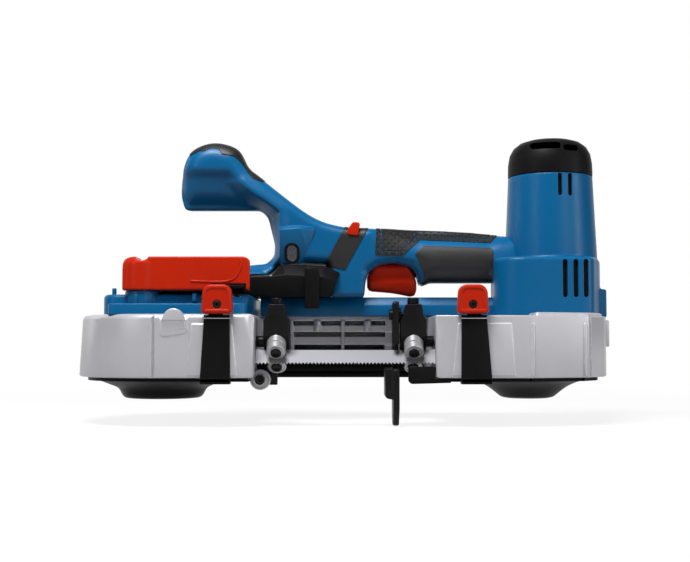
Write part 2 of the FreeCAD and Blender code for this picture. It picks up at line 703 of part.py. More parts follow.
def gear(teeth, module, width, centre, phase, bore):
    pitch = teeth * module / 2.0
    base_radius = pitch * math.cos(math.radians(PRESSURE_ANGLE))
    tip = pitch + ADDENDUM * module
    root = pitch - DEDENDUM * module
    half = (math.pi * module / 2.0 - BACKLASH) / 2.0 / pitch
    half += involute_point(base_radius, pitch)
    low = max(root, base_radius)
    radii = [low, (low + tip) / 2.0, tip]
    spread = [half - involute_point(base_radius, r) for r in radii]

    def place(radius, angle):
        return V(centre.x + radius * math.cos(angle), centre.y + radius * math.sin(angle), centre.z)

    edges = []
    step = 2.0 * math.pi / teeth
    for index in range(teeth):
        mid = math.radians(phase) + index * step
        rise = [place(r, mid - s) for r, s in zip(radii, spread)]
        fall = [place(r, mid + s) for r, s in zip(reversed(radii), reversed(spread))]
        foot_in = place(root, mid - spread[0])
        foot_out = place(root, mid + spread[0])
        if low > root:
            edges.append(Part.makeLine(foot_in, rise[0]))
        edges.append(Part.Arc(*rise).toShape())
        edges.append(Part.Arc(rise[2], place(tip, mid), fall[0]).toShape())
        edges.append(Part.Arc(*fall).toShape())
        if low > root:
            edges.append(Part.makeLine(fall[2], foot_out))
        next_foot = place(root, mid + step - spread[0])
        edges.append(Part.Arc(foot_out, place(root, mid + step / 2.0), next_foot).toShape())
    body = Part.Face(Part.Wire(edges)).extrude(V(0, 0, width))
    return body.cut(cylinder(bore, width, centre))


def heading(start, end):
    return math.degrees(math.atan2(end.y - start.y, end.x - start.x))


def lay_axis():
    # Where the lay shaft meshes with both the motor pinion and the output gear.
    first = (PINION_FIRST_TEETH + GEAR_FIRST_TEETH) * MODULE_FIRST / 2.0
    second = (PINION_SECOND_TEETH + GEAR_SECOND_TEETH) * MODULE_SECOND / 2.0
    motor = V(MOTOR_X, MOTOR_Y, 0)
    way = V(RIGHT_X, 0, 0).sub(motor)
    span = way.Length
    way.normalize()
    along = (first ** 2 - second ** 2 + span ** 2) / (2.0 * span)
    aside = math.sqrt(first ** 2 - along ** 2)
    return motor + way * along + V(-way.y, way.x, 0) * aside


def output_shaft():
    rod = cylinder(SHAFT_RADIUS, SHAFT_TOP - SHAFT_BOTTOM, V(RIGHT_X, 0, SHAFT_BOTTOM))
    return rod.makeChamfer(SHAFT_CHAMFER, level_edges(rod, 2, SHAFT_BOTTOM) + level_edges(rod, 2, SHAFT_TOP))


def ball_bearing(centre, outer, inner, width):
    # Outer and inner race with a seal ring between them.
    groove = (outer - inner) * BEARING_RACE
    blank = ring(outer, inner, width, centre)
    dish = ring(outer - groove, inner + groove, BEARING_DISH, centre)
    top_dish = moved(dish, z=width - BEARING_DISH)
    return cut(blank, [dish, top_dish])


def output_gear():
    way = heading(V(RIGHT_X, 0, 0), lay_axis()) + 180.0 / GEAR_SECOND_TEETH
    base = V(RIGHT_X, 0, OUTPUT_GEAR_Z)
    return gear(GEAR_SECOND_TEETH, MODULE_SECOND, OUTPUT_GEAR_WIDTH, base, way, SHAFT_RADIUS)


def lay_shaft():
    # Lay shaft with its pinion cut on it.
    low = OUTPUT_GEAR_Z - LAY_BUSH_LENGTH - LAY_END
    high = BULKHEAD_Z + LAY_BUSH_LENGTH - LAY_END
    place = lay_axis()
    rod = cylinder(LAY_SHAFT_RADIUS, high - low, V(place.x, place.y, low))
    return rod.fuse(lay_pinion()).removeSplitter()


def lay_pinion():
    place = lay_axis()
    way = heading(place, V(RIGHT_X, 0, 0))
    base = V(place.x, place.y, OUTPUT_GEAR_Z - PINION_EXTRA)
    width = OUTPUT_GEAR_WIDTH + 2 * PINION_EXTRA
    return gear(PINION_SECOND_TEETH, MODULE_SECOND, width, base, way, LAY_SHAFT_RADIUS)


def lay_gear():
    place = lay_axis()
    way = heading(place, V(MOTOR_X, MOTOR_Y, 0)) + 180.0 / GEAR_FIRST_TEETH
    base = V(place.x, place.y, FIRST_GEAR_Z)
    return gear(GEAR_FIRST_TEETH, MODULE_FIRST, FIRST_GEAR_WIDTH, base, way, LAY_SHAFT_RADIUS)


def motor_pinion():
    way = heading(V(MOTOR_X, MOTOR_Y, 0), lay_axis())
    base = V(MOTOR_X, MOTOR_Y, FIRST_GEAR_Z - PINION_EXTRA)
    return gear(PINION_FIRST_TEETH, MODULE_FIRST, FIRST_GEAR_WIDTH + 2 * PINION_EXTRA, base, way, PINION_BORE)


def motor_shaft():
    low = FIRST_GEAR_Z - PINION_EXTRA
    step = FIRST_GEAR_Z + FIRST_GEAR_WIDTH + PINION_EXTRA
    high = MOTOR_TOP_BEARING_Z + MOTOR_BEARING_WIDTH
    nose = cylinder(PINION_BORE, step - low, V(MOTOR_X, MOTOR_Y, low))
    rod = cylinder(MOTOR_SHAFT_RADIUS, high - step, V(MOTOR_X, MOTOR_Y, step))
    return fuse([nose, rod, motor_pinion()])


def gear_case_floor():
    top = UPPER_BEARING_Z + BALL_BEARING_WIDTH
    disc = cylinder(CUP_RADIUS - CUP_WALL - CASE_FIT, top - HOUSING_TOP, V(CUP_X, CUP_Y, HOUSING_TOP))
    place = lay_axis()
    return cut(disc, [
        cylinder(BALL_BEARING_RADIUS, BALL_BEARING_WIDTH, V(RIGHT_X, 0, UPPER_BEARING_Z)),
        cylinder(SHAFT_RADIUS + WALL, top - HOUSING_TOP, V(RIGHT_X, 0, HOUSING_TOP)),
        cylinder(LAY_BUSH_RADIUS, LAY_BUSH_LENGTH, V(place.x, place.y, top - LAY_BUSH_LENGTH)),
    ])


def lay_bushes():
    place = lay_axis()
    lows = (UPPER_BEARING_Z + BALL_BEARING_WIDTH - LAY_BUSH_LENGTH, BULKHEAD_Z)
    return [ring(LAY_BUSH_RADIUS, LAY_SHAFT_RADIUS + RUNNING_FIT, LAY_BUSH_LENGTH, V(place.x, place.y, low))
            for low in lows]


def motor_bulkhead():
    disc = cylinder(CUP_RADIUS - CUP_WALL - CASE_FIT, BULKHEAD_THICK, V(CUP_X, CUP_Y, BULKHEAD_Z))
    place = lay_axis()
    seat = BULKHEAD_Z + BULKHEAD_THICK - MOTOR_BEARING_WIDTH
    return cut(disc, [
        cylinder(LAY_BUSH_RADIUS, LAY_BUSH_LENGTH, V(place.x, place.y, BULKHEAD_Z)),
        cylinder(MOTOR_BEARING_RADIUS, MOTOR_BEARING_WIDTH, V(MOTOR_X, MOTOR_Y, seat)),
        cylinder(MOTOR_SHAFT_RADIUS + WALL, BULKHEAD_THICK, V(MOTOR_X, MOTOR_Y, BULKHEAD_Z)),
    ])


def motor_bearings():
    lows = (BULKHEAD_Z + BULKHEAD_THICK - MOTOR_BEARING_WIDTH, MOTOR_TOP_BEARING_Z)
    inner = MOTOR_SHAFT_RADIUS + RUNNING_FIT
    places = [V(MOTOR_X, MOTOR_Y, low) for low in lows]
    return [ball_bearing(place, MOTOR_BEARING_RADIUS, inner, MOTOR_BEARING_WIDTH) for place in places]


def rotor():
    return ring(ROTOR_RADIUS, MOTOR_SHAFT_RADIUS, STATOR_HEIGHT, V(MOTOR_X, MOTOR_Y, STATOR_Z))


def stator():
    core = ring(STATOR_RADIUS, ROTOR_RADIUS + AIR_GAP, STATOR_HEIGHT, V(MOTOR_X, MOTOR_Y, STATOR_Z))
    slots = []
    mid = (STATOR_RADIUS + ROTOR_RADIUS) / 2.0
    for index in range(STATOR_SLOTS):
        slot = cylinder(STATOR_SLOT_RADIUS, STATOR_HEIGHT, V(MOTOR_X + mid, MOTOR_Y, STATOR_Z))
        slots.append(turned(slot, 360.0 * index / STATOR_SLOTS, V(MOTOR_X, MOTOR_Y, 0)))
    return cut(core, slots)


def stator_windings():
    # End turns of the coils, one bundle above and one below the core.
    mid = (STATOR_RADIUS + ROTOR_RADIUS) / 2.0
    bundle = STATOR_SLOT_RADIUS
    lows = (STATOR_Z - WINDING_HEIGHT, STATOR_Z + STATOR_HEIGHT)
    return [ring(mid + bundle, mid - bundle, WINDING_HEIGHT, V(MOTOR_X, MOTOR_Y, low)) for low in lows]


def cooling_fan():
    centre = V(MOTOR_X, MOTOR_Y, 0)
    disc = ring(FAN_RADIUS, MOTOR_SHAFT_RADIUS, FAN_DISC, V(MOTOR_X, MOTOR_Y, FAN_Z))
    hub = ring(FAN_HUB, MOTOR_SHAFT_RADIUS, FAN_HEIGHT, V(MOTOR_X, MOTOR_Y, FAN_Z))
    blade = box(MOTOR_X + FAN_HUB - FAN_DISC, MOTOR_X + FAN_RADIUS - FAN_DISC, MOTOR_Y - FAN_DISC / 2.0,
                MOTOR_Y + FAN_DISC / 2.0, FAN_Z, FAN_Z + FAN_HEIGHT)
    blades = [turned(blade, 360.0 * index / FAN_BLADES, centre) for index in range(FAN_BLADES)]
    return fuse([disc, hub] + blades)


def bearing_bridge():
    height = CAP_BOTTOM - MOTOR_TOP_BEARING_Z + BRIDGE_LIP
    low = MOTOR_TOP_BEARING_Z - BRIDGE_LIP
    disc = cylinder(STATOR_RADIUS, height, V(MOTOR_X, MOTOR_Y, low))
    vents = []
    mid = (STATOR_RADIUS + MOTOR_BEARING_RADIUS) / 2.0
    for index in range(STATOR_SLOTS):
        vent = cylinder(BRIDGE_VENT, height, V(MOTOR_X + mid, MOTOR_Y, low))
        vents.append(turned(vent, 360.0 * index / STATOR_SLOTS, V(MOTOR_X, MOTOR_Y, 0)))
    seat = cylinder(MOTOR_BEARING_RADIUS, height, V(MOTOR_X, MOTOR_Y, MOTOR_TOP_BEARING_Z))
    way = cylinder(MOTOR_SHAFT_RADIUS + WALL, height, V(MOTOR_X, MOTOR_Y, low))
    return cut(disc, vents + [seat, way])


def tower_outside(grow=0.0):
    cup = cylinder(CUP_RADIUS + grow, CUP_TOP + grow - HOUSING_TOP, V(CUP_X, CUP_Y, HOUSING_TOP))
    cup = cup.makeFillet(CUP_ROUND, level_edges(cup, 2, CUP_TOP + grow))
    tower = Part.makeCone(TOWER_RADIUS_FOOT + grow, TOWER_RADIUS_TOP + grow, CAP_BOTTOM - CUP_TOP + CUP_ROUND,
                          V(MOTOR_X, MOTOR_Y, CUP_TOP - CUP_ROUND))
    return cup.fuse(tower).removeSplitter()


def slot_row(places, half_width, y0, y1, z0, z1):
    return [box(x - half_width, x + half_width, y0, y1, z0, z1) for x in places]


def motor_housing():
    room = [
        cylinder(CUP_RADIUS - CUP_WALL, CUP_TOP - CUP_WALL - HOUSING_TOP, V(CUP_X, CUP_Y, HOUSING_TOP)),
        cylinder(STATOR_RADIUS + CASE_FIT, CAP_BOTTOM - HOUSING_TOP, V(MOTOR_X, MOTOR_Y, HOUSING_TOP)),
    ]
    cup_front = CUP_Y - CUP_RADIUS - WALL
    cup_back = CUP_Y - CUP_RADIUS + CUP_SLOT_DEPTH
    cup_slots = slot_row([RIGHT_X + x for x in CUP_SLOTS], CUP_SLOT_WIDTH / 2.0, cup_front, cup_back,
                         CUP_SLOT_BOTTOM, CUP_TOP - CUP_ROUND)
    tower_front = MOTOR_Y - TOWER_RADIUS_FOOT
    tower_back = tower_front + TOWER_SLOT_DEPTH
    tower_slots = slot_row([MOTOR_X + x for x in TOWER_SLOTS], TOWER_SLOT_WIDTH / 2.0, tower_front, tower_back,
                           CAP_BOTTOM - TOWER_SLOT_HEIGHT, CAP_BOTTOM)
    slots = cup_slots + tower_slots
    slots += [slot.mirror(V(0, CUP_Y, 0), AXIS_Y) for slot in cup_slots]
    slots += [slot.mirror(V(0, MOTOR_Y, 0), AXIS_Y) for slot in tower_slots]
    return cut(tower_outside(), room + slots)


def motor_end_cap():
    cap = cylinder(CAP_RADIUS, CAP_TOP - CAP_BOTTOM, V(MOTOR_X, MOTOR_Y, CAP_BOTTOM))
    cap = cap.makeFillet(CAP_ROUND, level_edges(cap, 2, CAP_TOP))
    inside = CAP_TOP - CAP_BOTTOM - WALL
    room = cylinder(CAP_RADIUS - WALL, inside, V(MOTOR_X, MOTOR_Y, CAP_BOTTOM))
    room = room.makeFillet(CAP_ROUND - WALL, level_edges(room, 2, CAP_BOTTOM + inside))
    cap = cap.cut(room)
    slots = []
    for x0, x1 in CAP_SLOTS:
        slot = box(MOTOR_X + x0, MOTOR_X + x1, MOTOR_Y - 2 * CAP_RADIUS, MOTOR_Y - CAP_RADIUS + CAP_SLOT_DEPTH,
                   CAP_SLOT_Z, CAP_SLOT_Z + CAP_SLOT_HEIGHT)
        slots += [slot, slot.mirror(V(0, MOTOR_Y, 0), AXIS_Y)]
    return cut(cap, slots)


# Band tension
def carriage_plate_z():
    return HOUSING_TOP + SLIDE_FIT


def tension_carriage():
    low = carriage_plate_z()
    x0 = LEFT_X - CARRIAGE_LENGTH / 2.0
    plate = box(x0, x0 + CARRIAGE_LENGTH, CARRIAGE_FRONT, CARRIAGE_BACK, low, low + CARRIAGE_THICK)
    reach = CARRIAGE_SLOT / 2.0 - 2 * SLIDE_FIT
    neck = box(LEFT_X - reach, LEFT_X + reach - TENSION_TRAVEL, -CARRIAGE_NECK / 2.0, CARRIAGE_NECK / 2.0,
               HUB_TOP + WALL, low)
    sweep = CAM_RADIUS + CAM_OFFSET + CAM_ROOM
    window = box(PIVOT_X - sweep - TENSION_TRAVEL, PIVOT_X + sweep, PIVOT_Y - sweep, PIVOT_Y + sweep,
                 low, low + CARRIAGE_THICK)
    bore = cylinder(IDLER_AXLE_RADIUS, HOUSING_TOP, V(LEFT_X, 0, HUB_TOP))
    return cut(plate.fuse(neck), [window, bore]).removeSplitter()


def idler_axle():
    high = carriage_plate_z() + CARRIAGE_THICK
    rod = cylinder(IDLER_AXLE_RADIUS, high - SHAFT_BOTTOM, V(LEFT_X, 0, SHAFT_BOTTOM))
    head = cylinder(IDLER_AXLE_RADIUS + WALL, WALL, V(LEFT_X, 0, SHAFT_BOTTOM - WALL))
    return rod.fuse(head).removeSplitter()


def idler_bearings():
    lows = (HUB_BOTTOM, HUB_TOP - IDLER_BEARING_WIDTH)
    inner = IDLER_AXLE_RADIUS + RUNNING_FIT
    return [ball_bearing(V(LEFT_X, 0, low), IDLER_BEARING_RADIUS, inner, IDLER_BEARING_WIDTH) for low in lows]


def coil(start, axis, side, radius, wire, length, turns):
    # A round wire wound about a straight axis, in quarter turn arcs.
    other = axis.cross(side)

    def place(turn):
        angle = 2.0 * math.pi * turn
        ring_point = side * (radius * math.cos(angle)) + other * (radius * math.sin(angle))
        return start + axis * (length * turn / turns) + ring_point

    quarters = int(turns * 4)
    edges = []
    for index in range(quarters):
        points = [place((index + share) / 4.0) for share in (0.0, 0.5, 1.0)]
        edges.append(Part.Arc(*points).toShape())
    path = Part.Wire(edges)
    way = edges[0].tangentAt(edges[0].FirstParameter)
    section = Part.Wire(Part.makeCircle(wire, place(0), way))
    gap = length / turns - 2.0 * wire
    print("coil gap", round(gap, 2))
    return path.makePipeShell([section], True, False)


def tension_spring():
    low = carriage_plate_z() + CARRIAGE_THICK / 2.0
    start = V(LEFT_X + CARRIAGE_LENGTH / 2.0 + SPRING_WIRE, 0, low)
    return coil(start, AXIS_X, AXIS_Y, SPRING_RADIUS, SPRING_WIRE, SPRING_LENGTH, SPRING_TURNS)


def lever_pivot():
    # Upright pivot with the eccentric cam at its foot.
    low = carriage_plate_z()
    rod = cylinder(PIVOT_RADIUS, LEVER_TOP - WALL - low, V(PIVOT_X, PIVOT_Y, low))
    disc = cylinder(CAM_RADIUS, CARRIAGE_THICK, V(PIVOT_X - CAM_OFFSET, PIVOT_Y, low))
    return rod.fuse(disc).removeSplitter()


def tension_lever():
    half = LEVER_DEPTH / 2.0
    mid = PIVOT_Y
    arm = box(PIVOT_X, LEVER_END, mid - half, mid + half, LEVER_BOTTOM, LEVER_TOP)
    arm = arm.makeFillet(LEVER_ROUND, straight_edges(arm, AXIS_Z, lambda c: c.x > LEVER_END - 1.0))
    arm = arm.makeFillet(LEVER_ROUND - WALL / 2.0, [e for e in level_edges(arm, 2, LEVER_TOP)
                                                  if e.BoundBox.XMax > PIVOT_X + 1.0])
    boss = cylinder(LEVER_BOSS_RADIUS, LEVER_TOP - LEVER_BOTTOM, V(PIVOT_X, PIVOT_Y, LEVER_BOTTOM))
    boss = boss.makeFillet(WALL, level_edges(boss, 2, LEVER_TOP))
    foot = V(PIVOT_X, PIVOT_Y, LEVER_BOTTOM)
    relief = ring(LEVER_RELIEF_OUT, LEVER_RELIEF_IN, LEVER_RELIEF_TOP - LEVER_BOTTOM, foot)
    bore = cylinder(PIVOT_RADIUS, LEVER_TOP - WALL - LEVER_BOTTOM, foot)
    return cut(arm.fuse(boss), [relief, bore]).removeSplitter()


# Cover latches
def latch_axis(side):
    return V(side * STRAP_X, -HOUSING_DEPTH - LATCH_PIN_SET, LATCH_BOTTOM + LATCH_PIN_RAISE)


def latch_lug(side):
    # Ear at the top of the strap that carries the latch, cut away in front for its swing.
    pin = latch_axis(side)
    half = LATCH_LUG_WIDTH / 2.0
    round_end = cylinder(LATCH_LUG_RADIUS, 2 * half, V(pin.x - half, pin.y, pin.z), AXIS_X)
    foot = box(pin.x - half, pin.x + half, pin.y, pin.y + LATCH_LUG_RADIUS, STRAP_TOP - WALL, pin.z)
    return round_end.fuse(foot).removeSplitter()


def cover_with_lugs():
    pins = [latch_pin(side) for side in (-1, 1)]
    housings = [housing_block(plan(), HOUSING_BOTTOM, HOUSING_TOP) for plan in (left_plan, right_plan)]
    lugs = [latch_lug(side).cut(housing) for side, housing in zip((-1, 1), housings)]
    front = NOSE_FRONT - RUN_Y
    back = NOSE_BACK - RUN_Y
    nose = [
        box(GUIDE_X - NOSE_LEAD, THROAT_HALF + NOSE_FOOT, front, back, COVER_BOTTOM - WALL / 2.0, NOSE_TOP),
        box(THROAT_HALF, THROAT_HALF + 2 * NOSE_FOOT, front, back, COVER_BOTTOM, COVER_TOP),
    ]
    nose = [block.cut(housings[1]) for block in nose]
    whole = fuse([blade_cover()] + lugs + nose)
    return cut(whole, pins + [roller_relief()]).removeSplitter()


def latch_pin(side):
    pin = latch_axis(side)
    half = LATCH_WIDTH / 2.0 - WALL / 2.0
    return cylinder(LATCH_PIN_RADIUS, 2 * half, V(pin.x - half, pin.y, pin.z), AXIS_X)


def cover_latch(side):
    pin = latch_axis(side)
    x = pin.x
    half = LATCH_WIDTH / 2.0
    y0 = pin.y - LATCH_PIN_COVER
    tab = box(x - half, x + half, y0, y0 + LATCH_THICK, LATCH_BOTTOM, LATCH_BOTTOM + LATCH_HEIGHT)
    top = [e for e in straight_edges(tab, AXIS_Y) if e.CenterOfMass.z > pin.z + LATCH_ROUND]
    tab = tab.makeFillet(LATCH_ROUND, top)
    tab = tab.makeFillet(WALL / 3.0, level_edges(tab, 1, y0))
    turn_pin = cylinder(LATCH_PIN_RADIUS + RUNNING_FIT, 2 * half, V(x - half, pin.y, pin.z), AXIS_X)
    room = LATCH_LUG_RADIUS + STRAP_GAP
    left = x - LATCH_LUG_WIDTH / 2.0 - STRAP_GAP
    right = x + LATCH_LUG_WIDTH / 2.0 + STRAP_GAP
    pocket = cylinder(room, right - left, V(left, pin.y, pin.z), AXIS_X)
    below = box(left, right, pin.y - room, y0 + LATCH_THICK, LATCH_BOTTOM, pin.z)
    back = box(left, right, pin.y, y0 + LATCH_THICK, LATCH_BOTTOM, pin.z + room)
    socket = cylinder(LATCH_SOCKET_RADIUS, LATCH_SOCKET_DEPTH, V(x, y0, pin.z + LATCH_SOCKET_RAISE), AXIS_Y)
    return cut(tab, [turn_pin, pocket, below, back, socket])


# Blade guides
def band_way():
    # Unit vectors across the tilted cutting run: towards the teeth, and square to the band.
    angle = math.radians(BAND_TILT)
    return V(0, -math.sin(angle), -math.cos(angle)), V(0, -math.cos(angle), math.sin(angle))


def placed(shape, centre, axis):
    copy = shape.copy()
    copy.Placement = FreeCAD.Placement(centre, FreeCAD.Rotation(AXIS_Z, axis))
    return copy


def guide_place(side, face):
    # Centre and axis of a guide bearing: front and back roll on the faces, thrust on the back edge.
    teeth, square = band_way()
    centre = V(side * GUIDE_X, -RUN_Y, -BAND_DROP)
    reach = BAND_THICK / 2.0 + GUIDE_GAP + GUIDE_BEARING_RADIUS
    if face == "front":
        return centre + square * reach, teeth
    if face == "back":
        return centre - square * reach, teeth
    return centre - teeth * (BAND_WIDTH / 2.0 + GUIDE_GAP + THRUST_RADIUS), square


def guide_bearing(side, face):
    centre, axis = guide_place(side, face)
    outer = THRUST_RADIUS if face == "thrust" else GUIDE_BEARING_RADIUS
    blank = ball_bearing(V(0, 0, -GUIDE_BEARING_WIDTH / 2.0), outer, GUIDE_BEARING_BORE + RUNNING_FIT,
                         GUIDE_BEARING_WIDTH)
    return placed(blank, centre, axis)


def guide_pin(side, face):
    centre, axis = guide_place(side, face)
    if face == "thrust":
        return placed(cylinder(GUIDE_BEARING_BORE, 2 * THRUST_PIN, V(0, 0, -THRUST_PIN)), centre, axis)
    rod = cylinder(GUIDE_BEARING_BORE, GUIDE_PIN, V(0, 0, GUIDE_BEARING_WIDTH / 2.0 - GUIDE_PIN))
    head = cylinder(GUIDE_BEARING_BORE + HEAD_STEP, HEAD_STEP, V(0, 0, GUIDE_BEARING_WIDTH / 2.0 + RUNNING_FIT))
    neck = cylinder(GUIDE_BEARING_BORE, HEAD_STEP, V(0, 0, GUIDE_BEARING_WIDTH / 2.0))
    return placed(rod.fuse(neck).fuse(head).removeSplitter(), centre, axis)


def guide_screw(side):
    x = side * GUIDE_X
    y = BRACKET_SCREW_Y - RUN_Y
    head = cylinder(GUIDE_SCREW_HEAD, BRACKET_SCREW_HEIGHT, V(x, y, BRACKET_TOP))
    return head.fuse(cylinder(GUIDE_BEARING_BORE, GUIDE_PIN, V(x, y, BRACKET_TOP - GUIDE_PIN)))


def guide_bracket(side):
    x = side * GUIDE_X
    wide = BRACKET_WIDTH / 2.0
    narrow = BRACKET_NECK / 2.0
    block = plate_yz([(y - RUN_Y, z) for y, z in BRACKET_SIDE], x - wide, x + wide)
    trims = []
    for way in (-1, 1):
        x0, x1 = sorted((x + way * narrow, x + way * wide * 2))
        trims.append(box(x0, x1, BRACKET_FRONT - RUN_Y - WALL, 0, BRACKET_SHOULDER, BRACKET_TOP))
    block = cut(block, trims)
    wall_x = side * THROAT_HALF
    x0, x1 = sorted((wall_x, x + side * wide))
    block = block.fuse(cylinder(BRACKET_BOSS, x1 - x0, V(x0, BRACKET_BOSS_Y - RUN_Y, BRACKET_BOSS_Z), AXIS_X))
    tools = [guide_pin(side, face) for face in ("front", "back", "thrust")] + [guide_screw(side)]
    centre, axis = guide_place(side, "thrust")
    tools.append(placed(cylinder(THRUST_RADIUS + THRUST_ROOM, GUIDE_BEARING_WIDTH + THRUST_ROOM,
                                 V(0, 0, -(GUIDE_BEARING_WIDTH + THRUST_ROOM) / 2.0)), centre, axis))
    if side < 0:
        block = block.fuse(roller_lug())
        tools.append(roller_pin())
    else:
        place = V(x - wide - STOP_GAP, STOP_SCREW_Y - RUN_Y, STOP_SCREW_Z)
        pad = cylinder(STOP_BOSS, STOP_GAP, place, AXIS_X)
        block = block.fuse(pad)
        tools.append(stop_screw())
    return cut(block, tools).removeSplitter()


# Roller below the left guide
def roller_lug():
    return box(ROLLER_X - GUIDE_BEARING_BORE - WALL / 4.0, -GUIDE_X, ROLLER_BACK, ROLLER_BACK + WALL,
               ROLLER_Z - 2 * GUIDE_BEARING_BORE, LUG_TOP)


def roller_pin():
    front = ROLLER_BACK - ROLLER_STAND - ROLLER_WIDTH - 2 * HEAD_STEP
    return cylinder(GUIDE_BEARING_BORE, ROLLER_BACK + WALL - front, V(ROLLER_X, front, ROLLER_Z), AXIS_Y)


def lower_roller():
    base = V(ROLLER_X, ROLLER_BACK - ROLLER_STAND, ROLLER_Z)
    blank = ball_bearing(V(0, 0, 0), ROLLER_RADIUS, GUIDE_BEARING_BORE + RUNNING_FIT, ROLLER_WIDTH)
    return placed(blank, base, V(0, -1, 0))


def roller_relief():
    front = ROLLER_BACK - ROLLER_STAND - ROLLER_WIDTH - 2 * WALL
    return cylinder(ROLLER_RADIUS + WALL / 3.0, ROLLER_BACK - front, V(ROLLER_X, front, ROLLER_Z), AXIS_Y)


# Work stop beside the right guide
def work_stop():
    x1 = GUIDE_X - BRACKET_WIDTH / 2.0 - STOP_GAP
    plate = plate_yz([(y - RUN_Y, z) for y, z in STOP_SIDE], x1 - STOP_THICK, x1)
    front = STOP_LAYER_FRONT - RUN_Y
    back = STOP_LAYER_BACK - RUN_Y
    layer = box(x1 - STOP_THICK - STOP_LAYER, x1 - STOP_THICK, front, back, STOP_LAYER_BOTTOM, STOP_LAYER_TOP)
    return plate.fuse(layer).cut(stop_screw()).removeSplitter()


def stop_screw():
    x1 = GUIDE_X - BRACKET_WIDTH / 2.0 - STOP_GAP - STOP_THICK
    place = V(x1 - HEAD_STEP * 2, STOP_SCREW_Y - RUN_Y, STOP_SCREW_Z)
    head = cylinder(GUIDE_SCREW_HEAD, HEAD_STEP * 2, place, AXIS_X)
    return head.fuse(cylinder(GUIDE_BEARING_BORE, STOP_SCREW_LENGTH, place, AXIS_X)).removeSplitter()


# Deck over the idler wheel, and the base rail across the throat
def deck_screws():
    right = DECK_RIGHT - DECK_SCREW_INSET
    places = [(DECK_LEFT + DECK_SCREW_INSET, DECK_BACK - DECK_SCREW_BACK), (right, DECK_BACK - DECK_SCREW_BACK),
              (right, DECK_FRONT + DECK_SCREW_INSET)]
    screws = []
    for x, y in places:
        head = cylinder(SCREW_HEAD, SCREW_HEAD_HEIGHT, V(x, y, DECK_TOP - SCREW_HEAD_HEIGHT))
        low = HOUSING_TOP - WALL
        shank = cylinder(SCREW_SHANK, DECK_TOP - SCREW_HEAD_HEIGHT - low, V(x, y, low))
        screws.append(head.fuse(shank).removeSplitter())
    return screws


def tension_deck():
    lower = box(DECK_LEFT, DECK_RIGHT, DECK_FRONT, DECK_BACK, HOUSING_TOP, DECK_STEP)
    lower = lower.makeFillet(DECK_ROUND, straight_edges(lower, AXIS_Z, lambda c: c.x < DECK_LEFT + 1.0))
    upper = box(DECK_LEFT + DECK_INSET, DECK_RIGHT, DECK_FRONT + DECK_INSET, DECK_BACK - DECK_INSET,
                DECK_STEP, DECK_TOP)
    corners = straight_edges(upper, AXIS_Z, lambda c: c.x < DECK_LEFT + WALL)
    upper = upper.makeFillet(DECK_ROUND - DECK_INSET, corners)
    boss = cylinder(LEVER_BOSS_RADIUS, LEVER_BOTTOM - STRAP_GAP - DECK_TOP, V(PIVOT_X, PIVOT_Y, DECK_TOP))
    room_top = carriage_plate_z() + CARRIAGE_THICK + CAM_ROOM
    x0 = LEFT_X - CARRIAGE_LENGTH / 2.0 - CAM_ROOM
    x1 = LEFT_X + CARRIAGE_LENGTH / 2.0 + TENSION_TRAVEL + CAM_ROOM
    room = box(x0, x1, CARRIAGE_FRONT - CAM_ROOM, CARRIAGE_BACK + CAM_ROOM, HOUSING_TOP, room_top)
    reach = SPRING_RADIUS + 2 * SPRING_WIRE
    spring_room = box(x1, x1 + SPRING_LENGTH + 4 * SPRING_WIRE, -reach, reach, HOUSING_TOP, room_top)
    bore = cylinder(PIVOT_RADIUS + RUNNING_FIT, LEVER_BOTTOM - HOUSING_TOP, V(PIVOT_X, PIVOT_Y, HOUSING_TOP))
    return cut(fuse([lower, upper, boss]), [room, spring_room, bore] + deck_screws()).removeSplitter()


def base_rail():
    floor = HOUSING_TOP + RAIL_FLOOR
    section = [
        (RAIL_FRONT, HOUSING_TOP),
        (RAIL_FRONT, RAIL_TOP - RAIL_CHAMFER),
        (RAIL_FRONT + RAIL_CHAMFER_SET, RAIL_TOP),
        (RAIL_FRONT + RAIL_CHAMFER_SET + RAIL_WALL, RAIL_TOP),
        (RAIL_FRONT + RAIL_CHAMFER_SET + RAIL_WALL, floor),
        (RAIL_BACK - RAIL_WALL, floor),
        (RAIL_BACK - RAIL_WALL, floor + RAIL_CHAMFER),
        (RAIL_BACK, floor + RAIL_CHAMFER),
        (RAIL_BACK, HOUSING_TOP),
    ]
    return plate_yz(section, DECK_RIGHT, CUP_X).cut(tower_outside(CASE_FIT)).removeSplitter()


# Handle body in two half shells
def body_block():
    y0 = BODY_Y - BODY_HALF
    spline = Part.BSplineCurve()
    spline.interpolate([V(x, y0, z) for x, z in BODY_TOP_LINE])
    end = [(MOTOR_X - BODY_INTO, z) for z in BODY_END]
    corners = [V(x, y0, z) for x, z in [BODY_TOP_LINE[-1]] + end + BODY_LOWER_LINE + [BODY_TOP_LINE[0]]]
    edges = [spline.toShape()] + [Part.makeLine(a, b) for a, b in zip(corners, corners[1:])]
    block = Part.Face(Part.Wire(edges)).extrude(V(0, 2 * BODY_HALF, 0))
    rims = []
    for y in (y0, y0 + 2 * BODY_HALF):
        rims += [e for e in level_edges(block, 1, y) if e.BoundBox.XLength > RIM_LEAST]
    block = block.makeFillet(BODY_ROUND, rims)
    foot = RAIL_FRONT + RAIL_CHAMFER_SET + RAIL_WALL + CASE_FIT
    clear = box(DECK_RIGHT, CUP_X, y0, foot, HOUSING_TOP, RAIL_TOP + STRAP_GAP)
    return cut(block, [tower_outside(CASE_FIT), clear])


def skin_core(top, bottom, depth):
    reach = BODY_HALF - depth
    return box(DECK_LEFT, MOTOR_X, BODY_Y - reach, BODY_Y + reach, bottom, top)


